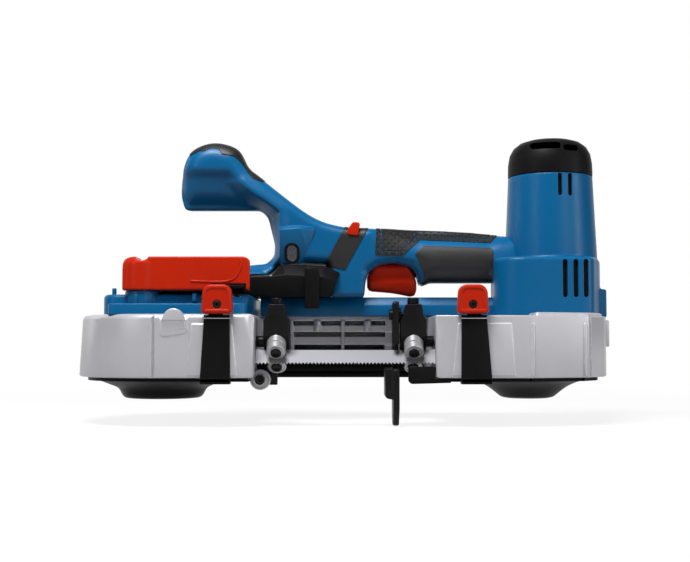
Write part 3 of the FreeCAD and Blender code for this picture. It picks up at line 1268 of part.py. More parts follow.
def patch(points):
    return plate_xz(points, BODY_Y - 2 * BODY_HALF, BODY_Y + 2 * BODY_HALF)


def button_way():
    half = LOCK_WIDTH / 2.0 + STRAP_GAP
    return box(LOCK_X - half, LOCK_X + half, BODY_Y - 2 * BODY_HALF, BODY_Y + 2 * BODY_HALF,
               LOCK_BOTTOM - STRAP_GAP, LOCK_TOP + WALL)


def handle_top_inlay(block):
    return block.common(patch(INLAY_PATCH)).cut(skin_core(HANDLE_TOP - SKIN, 0, SKIN))


def grip_rubber(block):
    skin = block.common(patch(GRIP_PATCH)).cut(skin_core(CAP_TOP, GRIP_BOTTOM + SKIN, SKIN))
    return cut(skin, shell_screws())


def lock_off_collar(block):
    skin = block.common(patch(COLLAR_PATCH)).cut(skin_core(HANDLE_TOP - SKIN, 0, SKIN))
    return skin.cut(button_way())


def knob_pad(block):
    return block.common(patch(KNOB_PATCH))


def shell_screws():
    back = BODY_Y + BODY_HALF
    screws = []
    for x, z in SHELL_SCREWS:
        head = cylinder(SCREW_HEAD, SCREW_HEAD_HEIGHT, V(x, back - SCREW_HEAD_HEIGHT, z), AXIS_Y)
        reach = BODY_HALF + WALL
        shank = cylinder(SCREW_SHANK, reach, V(x, back - SCREW_HEAD_HEIGHT - reach, z), AXIS_Y)
        screws.append(head.fuse(shank).removeSplitter())
    return screws


def body_room():
    reach = BODY_HALF - SHELL_WALL - SKIN
    room = plate_xz(ROOM_LINE, BODY_Y - reach, BODY_Y + reach)
    bosses = [cylinder(SCREW_BOSS, 2 * BODY_HALF, V(x, BODY_Y - BODY_HALF, z), AXIS_Y) for x, z in SHELL_SCREWS]
    return cut(room, bosses)


def trigger_way():
    half = TRIGGER_DEPTH / 2.0 + STRAP_GAP
    return box(TRIGGER_LEFT - STRAP_GAP, TRIGGER_RIGHT + STRAP_GAP, BODY_Y - half, BODY_Y + half,
               TRIGGER_BOTTOM, TRIGGER_TOP + TRIGGER_TRAVEL + STRAP_GAP)


def led_pocket():
    front = BODY_Y - BODY_HALF
    return box(LED_LEFT, LED_RIGHT, front - LED_PROUD, front + LED_DEPTH, LED_BOTTOM, LED_TOP)


def body_shell(block, skins, front):
    tools = skins + [body_room(), trigger_way(), button_way(), led_pocket()] + shell_screws()
    shell = cut(block, tools)
    y0, y1 = (BODY_Y - 2 * BODY_HALF, BODY_Y) if front else (BODY_Y, BODY_Y + 2 * BODY_HALF)
    return shell.common(box(2 * DECK_LEFT, 2 * MOTOR_X, y0, y1, -CAP_TOP, 2 * CAP_TOP)).removeSplitter()


# Trigger, switch and lock-off button
def trigger():
    half = TRIGGER_DEPTH / 2.0
    front = [(TRIGGER_LEFT, TRIGGER_TOP), (TRIGGER_RIGHT, TRIGGER_TOP),
             (TRIGGER_RIGHT, TRIGGER_BOTTOM + WALL / 2.0), (TRIGGER_RIGHT - WALL, TRIGGER_BOTTOM),
             (TRIGGER_LEFT + WALL, TRIGGER_BOTTOM), (TRIGGER_LEFT, TRIGGER_BOTTOM + WALL)]
    block = plate_xz(front, BODY_Y - half, BODY_Y + half)
    mid = (TRIGGER_LEFT + TRIGGER_RIGHT) / 2.0
    centre = V(mid, BODY_Y - half, TRIGGER_BOTTOM + TRIGGER_DISH - TRIGGER_CURVE)
    return block.cut(cylinder(TRIGGER_CURVE, TRIGGER_DEPTH, centre, AXIS_Y))


def trigger_spring():
    start = V((TRIGGER_LEFT + TRIGGER_RIGHT) / 2.0, BODY_Y, TRIGGER_TOP + SPRING_WIRE)
    return coil(start, AXIS_Z, AXIS_X, SPRING_RADIUS, SPRING_WIRE, TRIGGER_SPRING_LENGTH, TRIGGER_SPRING_TURNS)


def switch_module():
    low = TRIGGER_TOP + TRIGGER_TRAVEL + STRAP_GAP
    mid = (TRIGGER_LEFT + TRIGGER_RIGHT) / 2.0
    body = box(mid - SWITCH_LENGTH / 2.0, mid + SWITCH_LENGTH / 2.0, BODY_Y - SWITCH_WIDTH / 2.0,
               BODY_Y + SWITCH_WIDTH / 2.0, low, SWITCH_TOP)
    depth = SWITCH_TOP - low - WALL / 2.0
    return body.cut(cylinder(SPRING_RADIUS + 3 * SPRING_WIRE, depth, V(mid, BODY_Y, low)))


def lock_off_button():
    reach = BODY_HALF + LOCK_PROUD
    block = box(LOCK_X - LOCK_WIDTH / 2.0, LOCK_X + LOCK_WIDTH / 2.0, BODY_Y - reach, BODY_Y + reach,
                LOCK_BOTTOM, LOCK_TOP)
    return block.makeFillet(WALL / 2.0, straight_edges(block, AXIS_Y))


def control_board():
    back = BODY_Y + BODY_HALF - SHELL_WALL - SKIN
    return box(BOARD_LEFT, BOARD_RIGHT, back - BOARD_THICK, back, BOARD_BOTTOM, BOARD_TOP)


# Work light
def led_bezel():
    block = led_pocket()
    front = BODY_Y - BODY_HALF - LED_PROUD
    return cut(block, [lens_block(front), led_board()])


def lens_block(front):
    return box(LENS_LEFT, LENS_RIGHT, front, front + LENS_DEPTH, LENS_BOTTOM, LENS_TOP)


def led_board():
    back = BODY_Y - BODY_HALF + LED_DEPTH
    return box(LENS_LEFT, LENS_RIGHT, back - BOARD_THICK, back, LENS_BOTTOM, LENS_TOP)


def led_lens():
    return lens_block(BODY_Y - BODY_HALF - LED_PROUD)


# Battery dock
def battery_dock(block):
    y0 = BODY_Y - DOCK_HALF
    y1 = BODY_Y + DOCK_HALF
    head = plate_xz(DOCK_SIDE, y0, y1)
    core = box(DOCK_LEFT, DOCK_STOP_X, y0 + DOCK_FLANGE, y1 - DOCK_FLANGE, DECK_TOP, DOCK_RAIL_TOP)
    flange = box(DOCK_LEFT, DOCK_STOP_X, y0, y1, DOCK_RAIL_TOP - DOCK_FLANGE_THICK, DOCK_RAIL_TOP)
    whole = fuse([head, core, flange])
    column = box(COLUMN_LEFT - CASE_FIT, MOTOR_X, BODY_Y - BODY_HALF - CASE_FIT, BODY_Y + BODY_HALF + CASE_FIT,
                 HOUSING_TOP, CAP_TOP)
    whole = cut(whole, [column, block, base_rail(), hook_pin()] + dock_terminals())
    return max(whole.Solids, key=lambda solid: solid.Volume)


def dock_terminals():
    blades = []
    for index in range(TERMINAL_COUNT):
        y = BODY_Y + (index - (TERMINAL_COUNT - 1) / 2.0) * TERMINAL_PITCH
        blades.append(box(DOCK_STOP_X - TERMINAL_REACH, DOCK_STOP_X + WALL, y - TERMINAL_THICK / 2.0,
                          y + TERMINAL_THICK / 2.0, DOCK_RAIL_TOP + STRAP_GAP, DOCK_RAIL_TOP + TERMINAL_HEIGHT))
    return blades


# Hanging hook on the front of the dock
def hook_pin():
    front = BODY_Y - DOCK_HALF - STRAP_GAP - HOOK_THICK
    return cylinder(HOOK_PIN, HOOK_THICK + 2 * HOOK_PIN + STRAP_GAP, V(HOOK_X, front, HOOK_Z), AXIS_Y)


def hanging_hook():
    front = BODY_Y - DOCK_HALF - STRAP_GAP - HOOK_THICK
    half = HOOK_WIDTH / 2.0
    bar = box(HOOK_X - half, HOOK_X + half, front, front + HOOK_THICK, HOOK_BOTTOM + half, HOOK_Z)
    ends = [cylinder(half, HOOK_THICK, V(HOOK_X, front, z), AXIS_Y) for z in (HOOK_BOTTOM + half, HOOK_Z)]
    bar = fuse([bar] + ends)
    bar = bar.makeFillet(WALL / 2.0, level_edges(bar, 1, front))
    return bar.cut(cylinder(HOOK_PIN + RUNNING_FIT, HOOK_THICK, V(HOOK_X, front, HOOK_Z), AXIS_Y))


def pieces():
    block = body_block()
    skins = {
        "handle_top_inlay": handle_top_inlay(block),
        "grip_rubber": grip_rubber(block),
        "lock_off_collar": lock_off_collar(block),
        "knob_pad": knob_pad(block),
    }
    made = dict(skins)
    made["handle_shell_front"] = body_shell(block, list(skins.values()), True)
    made["handle_shell_rear"] = body_shell(block, list(skins.values()), False)
    made["main_frame"] = main_frame()
    made["blade_cover"] = cover_with_lugs()
    made["cover_latch_left"] = cover_latch(-1)
    made["cover_latch_right"] = cover_latch(1)
    made["hinge_pins"] = [latch_pin(-1), latch_pin(1), hook_pin()]
    made["drive_wheel"] = wheel(RIGHT_X, HUB_RADIUS, SHAFT_RADIUS)
    made["drive_tyre"] = tyre(RIGHT_X)
    made["idler_wheel"] = wheel(LEFT_X, IDLER_HUB_RADIUS, IDLER_BEARING_RADIUS)
    made["idler_tyre"] = tyre(LEFT_X)
    made["idler_bearings"] = idler_bearings()
    made["idler_axle"] = idler_axle()
    made["tension_carriage"] = tension_carriage()
    made["tension_spring"] = tension_spring()
    made["lever_pivot"] = lever_pivot()
    made["tension_lever"] = tension_lever()
    made["tension_deck"] = tension_deck()
    made["base_rail"] = base_rail()
    made["saw_band"] = saw_band()
    made["output_shaft"] = output_shaft()
    bearing_lows = (LOWER_BEARING_Z, UPPER_BEARING_Z)
    shaft_bearings = [ball_bearing(V(RIGHT_X, 0, low), BALL_BEARING_RADIUS, SHAFT_RADIUS + RUNNING_FIT,
                                   BALL_BEARING_WIDTH) for low in bearing_lows]
    made["drive_bearings"] = shaft_bearings + motor_bearings() + lay_bushes()
    made["output_gear"] = output_gear()
    made["lay_shaft"] = lay_shaft()
    made["lay_gear"] = lay_gear()
    made["gear_case_floor"] = gear_case_floor()
    made["motor_bulkhead"] = motor_bulkhead()
    made["motor_shaft"] = motor_shaft()
    made["rotor"] = rotor()
    made["stator"] = [stator()] + stator_windings()
    made["cooling_fan"] = cooling_fan()
    made["bearing_bridge"] = bearing_bridge()
    made["motor_housing"] = motor_housing()
    made["motor_end_cap"] = motor_end_cap()
    for side, word in ((-1, "left"), (1, "right")):
        made["guide_bracket_" + word] = guide_bracket(side)
        for face in ("front", "back", "thrust"):
            made["guide_bearing_" + face + "_" + word] = guide_bearing(side, face)
    made["lower_roller"] = lower_roller()
    pins = [guide_pin(side, face) for side in (-1, 1) for face in ("front", "back", "thrust")]
    made["guide_pins"] = pins + [roller_pin(), guide_screw(-1), guide_screw(1), stop_screw()]
    made["work_stop"] = work_stop()
    made["trigger"] = trigger()
    made["trigger_spring"] = trigger_spring()
    made["switch_module"] = switch_module()
    made["lock_off_button"] = lock_off_button()
    made["circuit_boards"] = [control_board(), led_board()]
    made["led_bezel"] = led_bezel()
    made["led_lens"] = led_lens()
    made["battery_dock"] = battery_dock(block)
    made["dock_terminals"] = dock_terminals()
    made["hanging_hook"] = hanging_hook()
    made["housing_screws"] = deck_screws() + shell_screws()
    return made


os.makedirs("parts", exist_ok=True)
for name, shape in pieces().items():
    solids = shape if isinstance(shape, list) else [shape]
    whole = Part.makeCompound(solids) if len(solids) > 1 else solids[0]
    print(name, len(whole.Solids), whole.isValid(), round(whole.Volume))
    whole.exportStep("parts/" + name + ".step")
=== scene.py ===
import json
import math

import bmesh
import bpy
import numpy as np
from mathutils import Matrix, Vector
from mathutils.geometry import interpolate_bezier


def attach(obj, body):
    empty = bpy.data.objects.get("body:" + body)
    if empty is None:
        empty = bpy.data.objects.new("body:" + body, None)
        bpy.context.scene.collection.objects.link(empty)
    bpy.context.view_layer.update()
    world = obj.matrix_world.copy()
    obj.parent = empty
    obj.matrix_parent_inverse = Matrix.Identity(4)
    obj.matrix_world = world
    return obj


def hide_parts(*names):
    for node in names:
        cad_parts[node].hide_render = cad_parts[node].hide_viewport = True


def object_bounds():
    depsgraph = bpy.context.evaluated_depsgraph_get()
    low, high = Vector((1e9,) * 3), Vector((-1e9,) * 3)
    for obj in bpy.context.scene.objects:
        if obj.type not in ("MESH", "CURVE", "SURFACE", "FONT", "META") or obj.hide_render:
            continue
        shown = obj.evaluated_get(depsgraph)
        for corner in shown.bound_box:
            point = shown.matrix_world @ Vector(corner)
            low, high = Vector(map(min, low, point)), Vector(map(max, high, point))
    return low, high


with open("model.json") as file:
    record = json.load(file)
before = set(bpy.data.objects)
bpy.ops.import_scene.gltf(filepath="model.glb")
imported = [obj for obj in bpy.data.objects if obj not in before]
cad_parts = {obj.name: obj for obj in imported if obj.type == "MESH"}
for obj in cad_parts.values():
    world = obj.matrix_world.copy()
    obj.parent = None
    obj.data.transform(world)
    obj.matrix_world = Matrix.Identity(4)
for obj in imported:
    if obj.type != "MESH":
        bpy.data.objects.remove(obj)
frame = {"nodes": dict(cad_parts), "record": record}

# Cordless portable band saw, dressed around its solids.
# X runs from the idler wheel to the drive wheel, Y from the cutting side to the back, Z up.
CAD_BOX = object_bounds()
MM = 0.001
UP = Vector((0, 0, 1))
TO_FRONT = Vector((0, -1, 0))

# Camera: the picture is 690 by 562 pixels
IMAGE_WIDE, IMAGE_HIGH = 690, 562
FOCAL_PIXELS = 1100
SENSOR = 36
EYE = Vector((0, -0.790, 0.008))
HORIZON_ROW = 343

# Stage and light
FLOOR_SIZE = 12
FLOOR_WHITE, FLOOR_BOUNCE, FLOOR_GLOW = 0.9, 0.3, 0.86
SKY_FILL = 0.08
ROOM_DARK = 0.03
LAMPS = {  # place, aim, size, power
    "key_box": ((-0.18, -0.44, 0.97), (0, 0, 0.05), (0.5, 0.3), 17),
    "right_front_box": ((0.66, -0.92, 0.3), (0, 0, 0.04), (0.4, 0.5), 1.5),
    "left_front_strip": ((-0.68, -0.66, 0.42), (0, 0, 0.05), (0.14, 0.6), 1.2),
    "right_strip": ((0.83, -0.34, 0.25), (0.1, 0, 0.05), (0.1, 0.6), 2),
    "left_strip": ((-0.82, 0.30, 0.3), (-0.05, 0, 0.06), (0.1, 0.6), 0.8),
}


# Node helpers
def add(tree, kind, *inputs, at=None, **named):
    """Adds a node. Inputs fill its sockets in turn, capital names are sockets and small names are settings."""
    made = tree.nodes.new("ShaderNode" + kind)
    for key in [key for key in named if key.islower()]:
        setattr(made, key, named.pop(key))
    sockets = {key.replace("_", " "): value for key, value in named.items()}
    for key, value in [*enumerate(inputs), *(at or {}).items(), *sockets.items()]:
        if isinstance(value, bpy.types.NodeSocket):
            tree.links.new(value, made.inputs[key])
        else:
            made.inputs[key].default_value = value
    return made


def new_group(name, inputs, outputs):
    """A shader node group with float inputs and their defaults. Its outputs are floats, apart from a normal."""
    tree = bpy.data.node_groups.new(name, "ShaderNodeTree")
    for label, value in inputs.items():
        tree.interface.new_socket(label, in_out="INPUT", socket_type="NodeSocketFloat").default_value = value
    for label in outputs:
        kind = "NodeSocketVector" if label == "Normal" else "NodeSocketFloat"
        tree.interface.new_socket(label, in_out="OUTPUT", socket_type=kind)
    return tree, tree.nodes.new("NodeGroupInput").outputs, tree.nodes.new("NodeGroupOutput").inputs


def place_group(tree, group, **values):
    made = tree.nodes.new("ShaderNodeGroup")
    made.node_tree = group
    for key, value in values.items():
        made.inputs[key.replace("_", " ")].default_value = value
    return made.outputs


def grain_group():
    """Fine moulding or blasting grain, and slow cloudy variation, on the piece's own coordinates."""
    tree, start, end = new_group("surface_grain", {"Scale": 2200, "Cloud Scale": 45}, ["Height", "Cloud"])
    place = add(tree, "TexCoord").outputs["Object"]
    fine = add(tree, "TexNoise", Vector=place, Scale=start["Scale"], Detail=3, Roughness=0.6)
    cloud = add(tree, "TexNoise", Vector=place, Scale=start["Cloud Scale"], Detail=4)
    tree.links.new(fine.outputs[0], end["Height"])
    tree.links.new(cloud.outputs[0], end["Cloud"])
    return tree


def edge_group():
    """Rounded-edge normal, and a mask that is 1 in patches along convex edges, which are lightened partly as wear and
    partly as painted highlight.
    """
    tree, start, end = new_group("edge_round", {"Radius": 0.0006, "Wear": 0.25}, ["Normal", "Mask"])
    edge = add(tree, "Bevel", samples=6, Radius=start["Radius"]).outputs[0]
    flat = add(tree, "NewGeometry").outputs["Normal"]
    match = add(tree, "VectorMath", edge, flat, operation="DOT_PRODUCT").outputs["Value"]
    turn = add(tree, "MapRange", Value=match, From_Min=0.985, From_Max=0.9, To_Min=0, To_Max=1)
    place = add(tree, "TexCoord").outputs["Object"]
    patch = add(tree, "TexNoise", Vector=place, Scale=260, Detail=3)
    broken = add(tree, "MapRange", Value=patch.outputs[0], From_Min=0.35, From_Max=0.7)
    mixed = add(tree, "Math", turn.outputs[0], broken.outputs[0], operation="MULTIPLY")
    worn_and_lit = add(tree, "Math", mixed.outputs[0], start["Wear"], operation="MULTIPLY")
    tree.links.new(edge, end["Normal"])
    tree.links.new(worn_and_lit.outputs[0], end["Mask"])
    return tree


def brush_group():
    """Fine drawn lines along X for rolled and turned steel."""
    tree, start, end = new_group("drawn_lines", {"Scale": 900}, ["Height"])
    place = add(tree, "TexCoord").outputs["Object"]
    stretch = add(tree, "Mapping", Vector=place, Scale=(0.03, 1, 1)).outputs[0]
    lines = add(tree, "TexNoise", Vector=stretch, Scale=start["Scale"], Detail=4, Roughness=0.7)
    tree.links.new(lines.outputs[0], end["Height"])
    return tree


GRAIN = grain_group()
EDGE = edge_group()
BRUSH = brush_group()


# Materials
def finish_surface(name, colour, shade, rough, metal=0, grain=2200, depth=0.00004, cloud=45, radius=0.0006, wear_and_highlight=0.25,
                   worn_lit_edge_colour=None, specular=0.5, lines=0, clear=0):
    """A moulded, cast or machined surface with two tones, grain, rounded edges, and edges lightened partly as wear and
    partly as painted highlight.
    """
    made = bpy.data.materials.new(name)
    made.use_nodes = True
    tree = made.node_tree
    shader = tree.nodes["Principled BSDF"].inputs
    shader["Metallic"].default_value = metal
    shader["Specular IOR Level"].default_value = specular
    shader["Transmission Weight"].default_value = clear
    skin = place_group(tree, GRAIN, Scale=grain, Cloud_Scale=cloud)
    edge = place_group(tree, EDGE, Radius=radius, Wear=wear_and_highlight)
    height = (place_group(tree, BRUSH, Scale=lines) if lines else skin)["Height"]
    tone = add(tree, "Mix", skin["Cloud"], at={6: (*colour, 1), 7: (*shade, 1)}, data_type="RGBA").outputs[2]
    # Convex edges take the lighter edge colour: part wear, part painted highlight where light would catch them.
    worn_and_lit = add(tree, "Mix", edge["Mask"], at={6: tone, 7: (*(worn_lit_edge_colour or colour), 1)}, data_type="RGBA")
    tree.links.new(worn_and_lit.outputs[2], shader["Base Color"])
    gloss = add(tree, "MapRange", Value=skin["Cloud"], From_Min=0.3, From_Max=0.7, To_Min=rough[0], To_Max=rough[1])
    tree.links.new(gloss.outputs[0], shader["Roughness"])
    bump = add(tree, "Bump", Strength=1, Distance=depth, Height=height, Normal=edge["Normal"])
    tree.links.new(bump.outputs[0], shader["Normal"])
    return made


def grey(level, blue=None):
    return level, level, blue or level


def dotted_rubber():
    """Soft rubber with rows of small round pits on both sides of the grip."""
    made = finish_surface("dotted_rubber", *SOFT_BLACK, (0.42, 0.52), grain=1500, depth=0.00006, radius=0.0005,
                          wear_and_highlight=0.15, worn_lit_edge_colour=grey(0.03, 0.031), specular=0.4)
    tree = made.node_tree
    normal = tree.nodes["Principled BSDF"].inputs["Normal"]
    grain = normal.links[0].from_socket
    split = add(tree, "SeparateXYZ", add(tree, "TexCoord").outputs["Object"]).outputs
    side = add(tree, "CombineXYZ", split[0], split[2]).outputs[0]
    turn = add(tree, "Mapping", Vector=side, Rotation=(0, 0, math.radians(45)), Scale=(270, 270, 1)).outputs[0]
    spots = add(tree, "TexVoronoi", voronoi_dimensions="2D", Vector=turn, Scale=1, Randomness=0).outputs["Distance"]
    pit = add(tree, "MapRange", interpolation_type="SMOOTHSTEP", Value=spots, From_Min=0.2, From_Max=0.34)
    dent = add(tree, "Bump", Strength=1, Distance=0.0005, Height=pit.outputs[0], Normal=grain)
    tree.links.new(dent.outputs[0], normal)
    return made


HARD_BLACK = grey(0.004, 0.0045), grey(0.006, 0.0065)
SOFT_BLACK = grey(0.005, 0.0055), grey(0.008, 0.0085)
# The lighter edge colours here paint partly wear and partly a highlight along the edges, strongest on the cast silver.
FINISH = {
    "cast_aluminium": finish_surface("cast_silver", grey(0.50, 0.53), grey(0.45, 0.48), (0.3, 0.4), metal=0.3,
                                     grain=1500, depth=0.00005, radius=0.0012, wear_and_highlight=0.7,
                                     worn_lit_edge_colour=grey(0.75, 0.77), specular=0.25),
    "blue_plastic": finish_surface("blue_moulding", (0.001, 0.096, 0.238), (0.0008, 0.086, 0.215), (0.3, 0.38),
                                   radius=0.001, wear_and_highlight=0.18, worn_lit_edge_colour=(0.02, 0.2, 0.42), specular=0.2),
    "black_plastic": finish_surface("black_moulding", *HARD_BLACK, (0.38, 0.5), radius=0.0008, wear_and_highlight=0.2,
                                    worn_lit_edge_colour=grey(0.02, 0.021), specular=0.07),
    "red_plastic": finish_surface("red_moulding", (0.46, 0.017, 0.003), (0.41, 0.014, 0.002), (0.28, 0.36),
                                  radius=0.001, wear_and_highlight=0.2, worn_lit_edge_colour=(0.75, 0.08, 0.03), specular=0.12),
    "black_rubber": finish_surface("soft_rubber", *SOFT_BLACK, (0.42, 0.52), grain=1500, depth=0.00008, radius=0.0008,
                                   wear_and_highlight=0.15, worn_lit_edge_colour=grey(0.03, 0.031), specular=0.4),
    "wheel_rubber": finish_surface("wheel_rubber", grey(0.02), grey(0.03), (0.6, 0.75), grain=900),
    "black_steel": finish_surface("black_coat", *SOFT_BLACK, (0.3, 0.42), radius=0.0007, wear_and_highlight=0.35,
                                  worn_lit_edge_colour=grey(0.05), specular=0.12),
    "bright_steel": finish_surface("machined_steel", grey(0.52, 0.53), grey(0.46, 0.47), (0.25, 0.35), metal=1,
                                   lines=1600, depth=0.00001, radius=0.0004),
    "wheel_metal": finish_surface("turned_wheel", grey(0.62, 0.63), grey(0.55, 0.56), (0.3, 0.4), metal=0.9,
                                  lines=1200, depth=0.00001, radius=0.0005),
    "band_steel": finish_surface("blade_steel", grey(0.24, 0.26), grey(0.20, 0.22), (0.4, 0.5), metal=0.25, lines=1800,
                                 depth=0.00001, radius=0.0002, wear_and_highlight=0.1),
    "bearing_steel": finish_surface("bearing_steel", grey(0.42, 0.43), grey(0.35, 0.36), (0.26, 0.36), metal=0.55,
                                    lines=900, depth=0.000006, radius=0.0004, wear_and_highlight=0.3, worn_lit_edge_colour=grey(0.85, 0.86)),
    "dark_screws": finish_surface("screw_black", *HARD_BLACK, (0.28, 0.4), radius=0.0004, wear_and_highlight=0.3,
                                  worn_lit_edge_colour=grey(0.1), specular=0.12),
    "fan_plastic": finish_surface("fan_moulding", grey(0.03), grey(0.04), (0.3, 0.4)),
    "board_green": finish_surface("solder_mask", (0.012, 0.11, 0.035), (0.01, 0.085, 0.03), (0.2, 0.32), grain=600),
    "clear_lens": finish_surface("lens_clear", (0.10, 0.11, 0.12), (0.07, 0.08, 0.09), (0.06, 0.14), grain=900,
                                 depth=0.00001, clear=0.7),
    "terminal_brass": finish_surface("contact_brass", (0.62, 0.44, 0.17), (0.55, 0.38, 0.14), (0.25, 0.36), metal=1,
                                     lines=900, depth=0.00001, radius=0.0002),
}
INLAY_RUBBER = dotted_rubber()
LIGHT_CELL = finish_surface("light_cell", grey(0.72, 0.66), grey(0.6, 0.52), (0.15, 0.25), metal=0.6, grain=900,
                            depth=0.00001, radius=0.0002)
SLOT_OF = {part["node"]: part["material_slot"] for part in frame["record"]["subparts"]}


def dress_nodes():
    """Every solid takes the finish of its slot."""
    for name, thing in frame["nodes"].items():
        thing.data.materials.clear()
        thing.data.materials.append(FINISH[SLOT_OF[name]])


# Shape helpers: outlines are in millimetres, meshes in metres
PLANE = {
    "X": lambda u, v, h: Vector((h, u, v)),
    "Y": lambda u, v, h: Vector((u, h, v)),
    "Z": lambda u, v, h: Vector((u, v, h)),
}
LOW_END, HIGH_END, BOTH_ENDS = (0,), (1,), (0, 1)


def rounded(corners, steps=5):
    """Outline points from (u, v) or (u, v, radius) corners, with an arc at each corner that has a radius."""
    points = []
    for index, (u, v, *radius) in enumerate(corners):
        here = Vector((u, v))
        if not any(radius):
            points.append(here)
            continue
        before = Vector(corners[index - 1][:2]) - here
        after = Vector(corners[(index + 1) % len(corners)][:2]) - here
        half = before.angle(after) / 2
        reach = min(radius[0] / math.tan(half), 0.48 * before.length, 0.48 * after.length)
        start = here + before.normalized() * reach
        end = here + after.normalized() * reach
        middle = here + (before.normalized() + after.normalized()).normalized() * reach / math.cos(half)
        arm, last = start - middle, end - middle
        turn = math.copysign(arm.angle(last), arm.x * last.y - arm.y * last.x)
        points += [middle + Matrix.Rotation(turn * step / steps, 2) @ arm for step in range(steps + 1)]
    return points


def box_corners(u0, u1, v0, v1, radius):
    return [(u0, v0, radius), (u1, v0, radius), (u1, v1, radius), (u0, v1, radius)]


def smooth_line(points, steps=6):
    """Points along a smooth curve through the given points."""
    line = []
    last = len(points) - 1
    for index in range(last):
        behind, ahead = Vector(points[max(index - 1, 0)]), Vector(points[min(index + 2, last)])
        start, end = Vector(points[index]), Vector(points[index + 1])
        knots = [start, start + (end - behind) / 6, end - (ahead - start) / 6, end]
        line += interpolate_bezier(*[knot.to_3d() for knot in knots], steps + 1)[:-1]
    return [point.to_2d() for point in line] + [Vector(points[-1])]


def inset(corners, gap):
    """The same outline with every side moved inwards."""
    turn = sum(a[0] * b[1] - b[0] * a[1] for a, b in zip(corners, corners[1:] + corners[:1]))
    side = math.copysign(gap, turn)
    made = []
    for index, corner in enumerate(corners):
        here = Vector(corner)
        before = (here - Vector(corners[index - 1])).normalized()
        after = (Vector(corners[(index + 1) % len(corners)]) - here).normalized()
        square = Vector((-before.y, before.x)) + Vector((-after.y, after.x))
        made.append(here + square * side / (1 + before.dot(after)))
    return made


def prism(points, axis, low, high):
    """A closed prism: an outline in the plane square to an axis, from one height to another."""
    shape = bmesh.new()
    base = shape.faces.new([shape.verts.new(PLANE[axis](u, v, low) * MM) for u, v in points])
    grown = bmesh.ops.extrude_face_region(shape, geom=[base])["geom"]
    tops = [item for item in grown if isinstance(item, bmesh.types.BMVert)]
    bmesh.ops.translate(shape, verts=tops, vec=PLANE[axis](0, 0, high - low) * MM)
    bmesh.ops.recalc_face_normals(shape, faces=shape.faces)
    return shape


def slab(corners, axis, low, high, soft=None, ends=BOTH_ENDS, steps=5):
    """A prism with rounded corners, and with its end rims rounded over by a radius in a number of steps."""
    shape = prism(rounded(corners, steps), axis, low, high)
    if soft:
        soften(shape, [edge for end in ends for edge in rim(shape, axis, (low, high)[end])], *soft)
    return shape


def block(x0, x1, y0, y1, z0, z1, round_size=0):
    shape = prism([(x0, y0), (x1, y0), (x1, y1), (x0, y1)], "Z", z0, z1)
    return soften(shape, shape.edges[:], round_size) if round_size else shape


def rim(shape, axis, level):
    """Edges that lie flat at one height along an axis."""
    index = "XYZ".index(axis)
    return [edge for edge in shape.edges if all(abs(v.co[index] - level * MM) < 2e-6 for v in edge.verts)]


def soften(shape, edges, radius, segments=3):
    bmesh.ops.bevel(shape, geom=edges, offset=radius * MM, segments=segments, profile=0.5, affect="EDGES",
                    material=-1, clamp_overlap=True)
    return shape


def cut_through(shape, spot, normal, outer=False, inner=False):
    """Cuts along a plane. Where one side is cleared, the cut is closed."""
    cut = bmesh.ops.bisect_plane(shape, geom=shape.verts[:] + shape.edges[:] + shape.faces[:], dist=1e-7,
                                 plane_co=Vector(spot) * MM, plane_no=normal, clear_outer=outer, clear_inner=inner)
    if outer or inner:
        edges = [item for item in cut["geom_cut"] if isinstance(item, bmesh.types.BMEdge)]
        bmesh.ops.edgenet_fill(shape, edges=edges)
        bmesh.ops.recalc_face_normals(shape, faces=shape.faces)
    return shape


def lathe(profile, centre, axis=UP, steps=72):
    """Turns a (radius, height) profile about an axis through a centre."""
    shape = bmesh.new()
    line = [shape.verts.new(Vector((r, 0, z)) * MM) for r, z in profile]
    edges = [shape.edges.new(pair) for pair in zip(line, line[1:])]
    bmesh.ops.spin(shape, geom=line + edges, cent=(0, 0, 0), axis=UP, angle=2 * math.pi, steps=steps, use_merge=True)
    bmesh.ops.remove_doubles(shape, verts=shape.verts, dist=0.01 * MM)
    bmesh.ops.recalc_face_normals(shape, faces=shape.faces)
    bmesh.ops.rotate(shape, verts=shape.verts, cent=(0, 0, 0), matrix=UP.rotation_difference(Vector(axis)).to_matrix())
    bmesh.ops.translate(shape, verts=shape.verts, vec=Vector(centre) * MM)
    return shape


def rod(radius, start, end, steps=32, bevel=0):
    """A round or faceted bar between two points, with its end edges rounded over."""
    shape = bmesh.new()
    way = Vector(end) - Vector(start)
    bmesh.ops.create_cone(shape, cap_ends=True, segments=steps, radius1=radius * MM, radius2=radius * MM,
                          depth=way.length * MM)
    if bevel:
        soften(shape, [e for e in shape.edges if abs(e.verts[0].co.z - e.verts[1].co.z) < 1e-7], bevel, 2)
    bmesh.ops.rotate(shape, verts=shape.verts, cent=(0, 0, 0), matrix=UP.rotation_difference(way).to_matrix())
    bmesh.ops.translate(shape, verts=shape.verts, vec=(Vector(start) + Vector(end)) / 2 * MM)
    return shape


def ribbon(path, width):
    """Outline of a band that follows a path of points."""
    left, right = [], []
    for index, spot in enumerate(path):
        way = (Vector(path[min(index + 1, len(path) - 1)]) - Vector(path[max(index - 1, 0)])).normalized()
        aside = Vector((-way.y, way.x)) * width / 2
        left.append(Vector(spot) + aside)
        right.append(Vector(spot) - aside)
    return left + right[::-1]


def gathered(*shapes):
    """One mesh that holds several shapes."""
    whole = bmesh.new()
    for shape in shapes:
        scrap = bpy.data.meshes.new("scrap")
        shape.to_mesh(scrap)
        shape.free()
        whole.from_mesh(scrap)
        bpy.data.meshes.remove(scrap)
    return whole


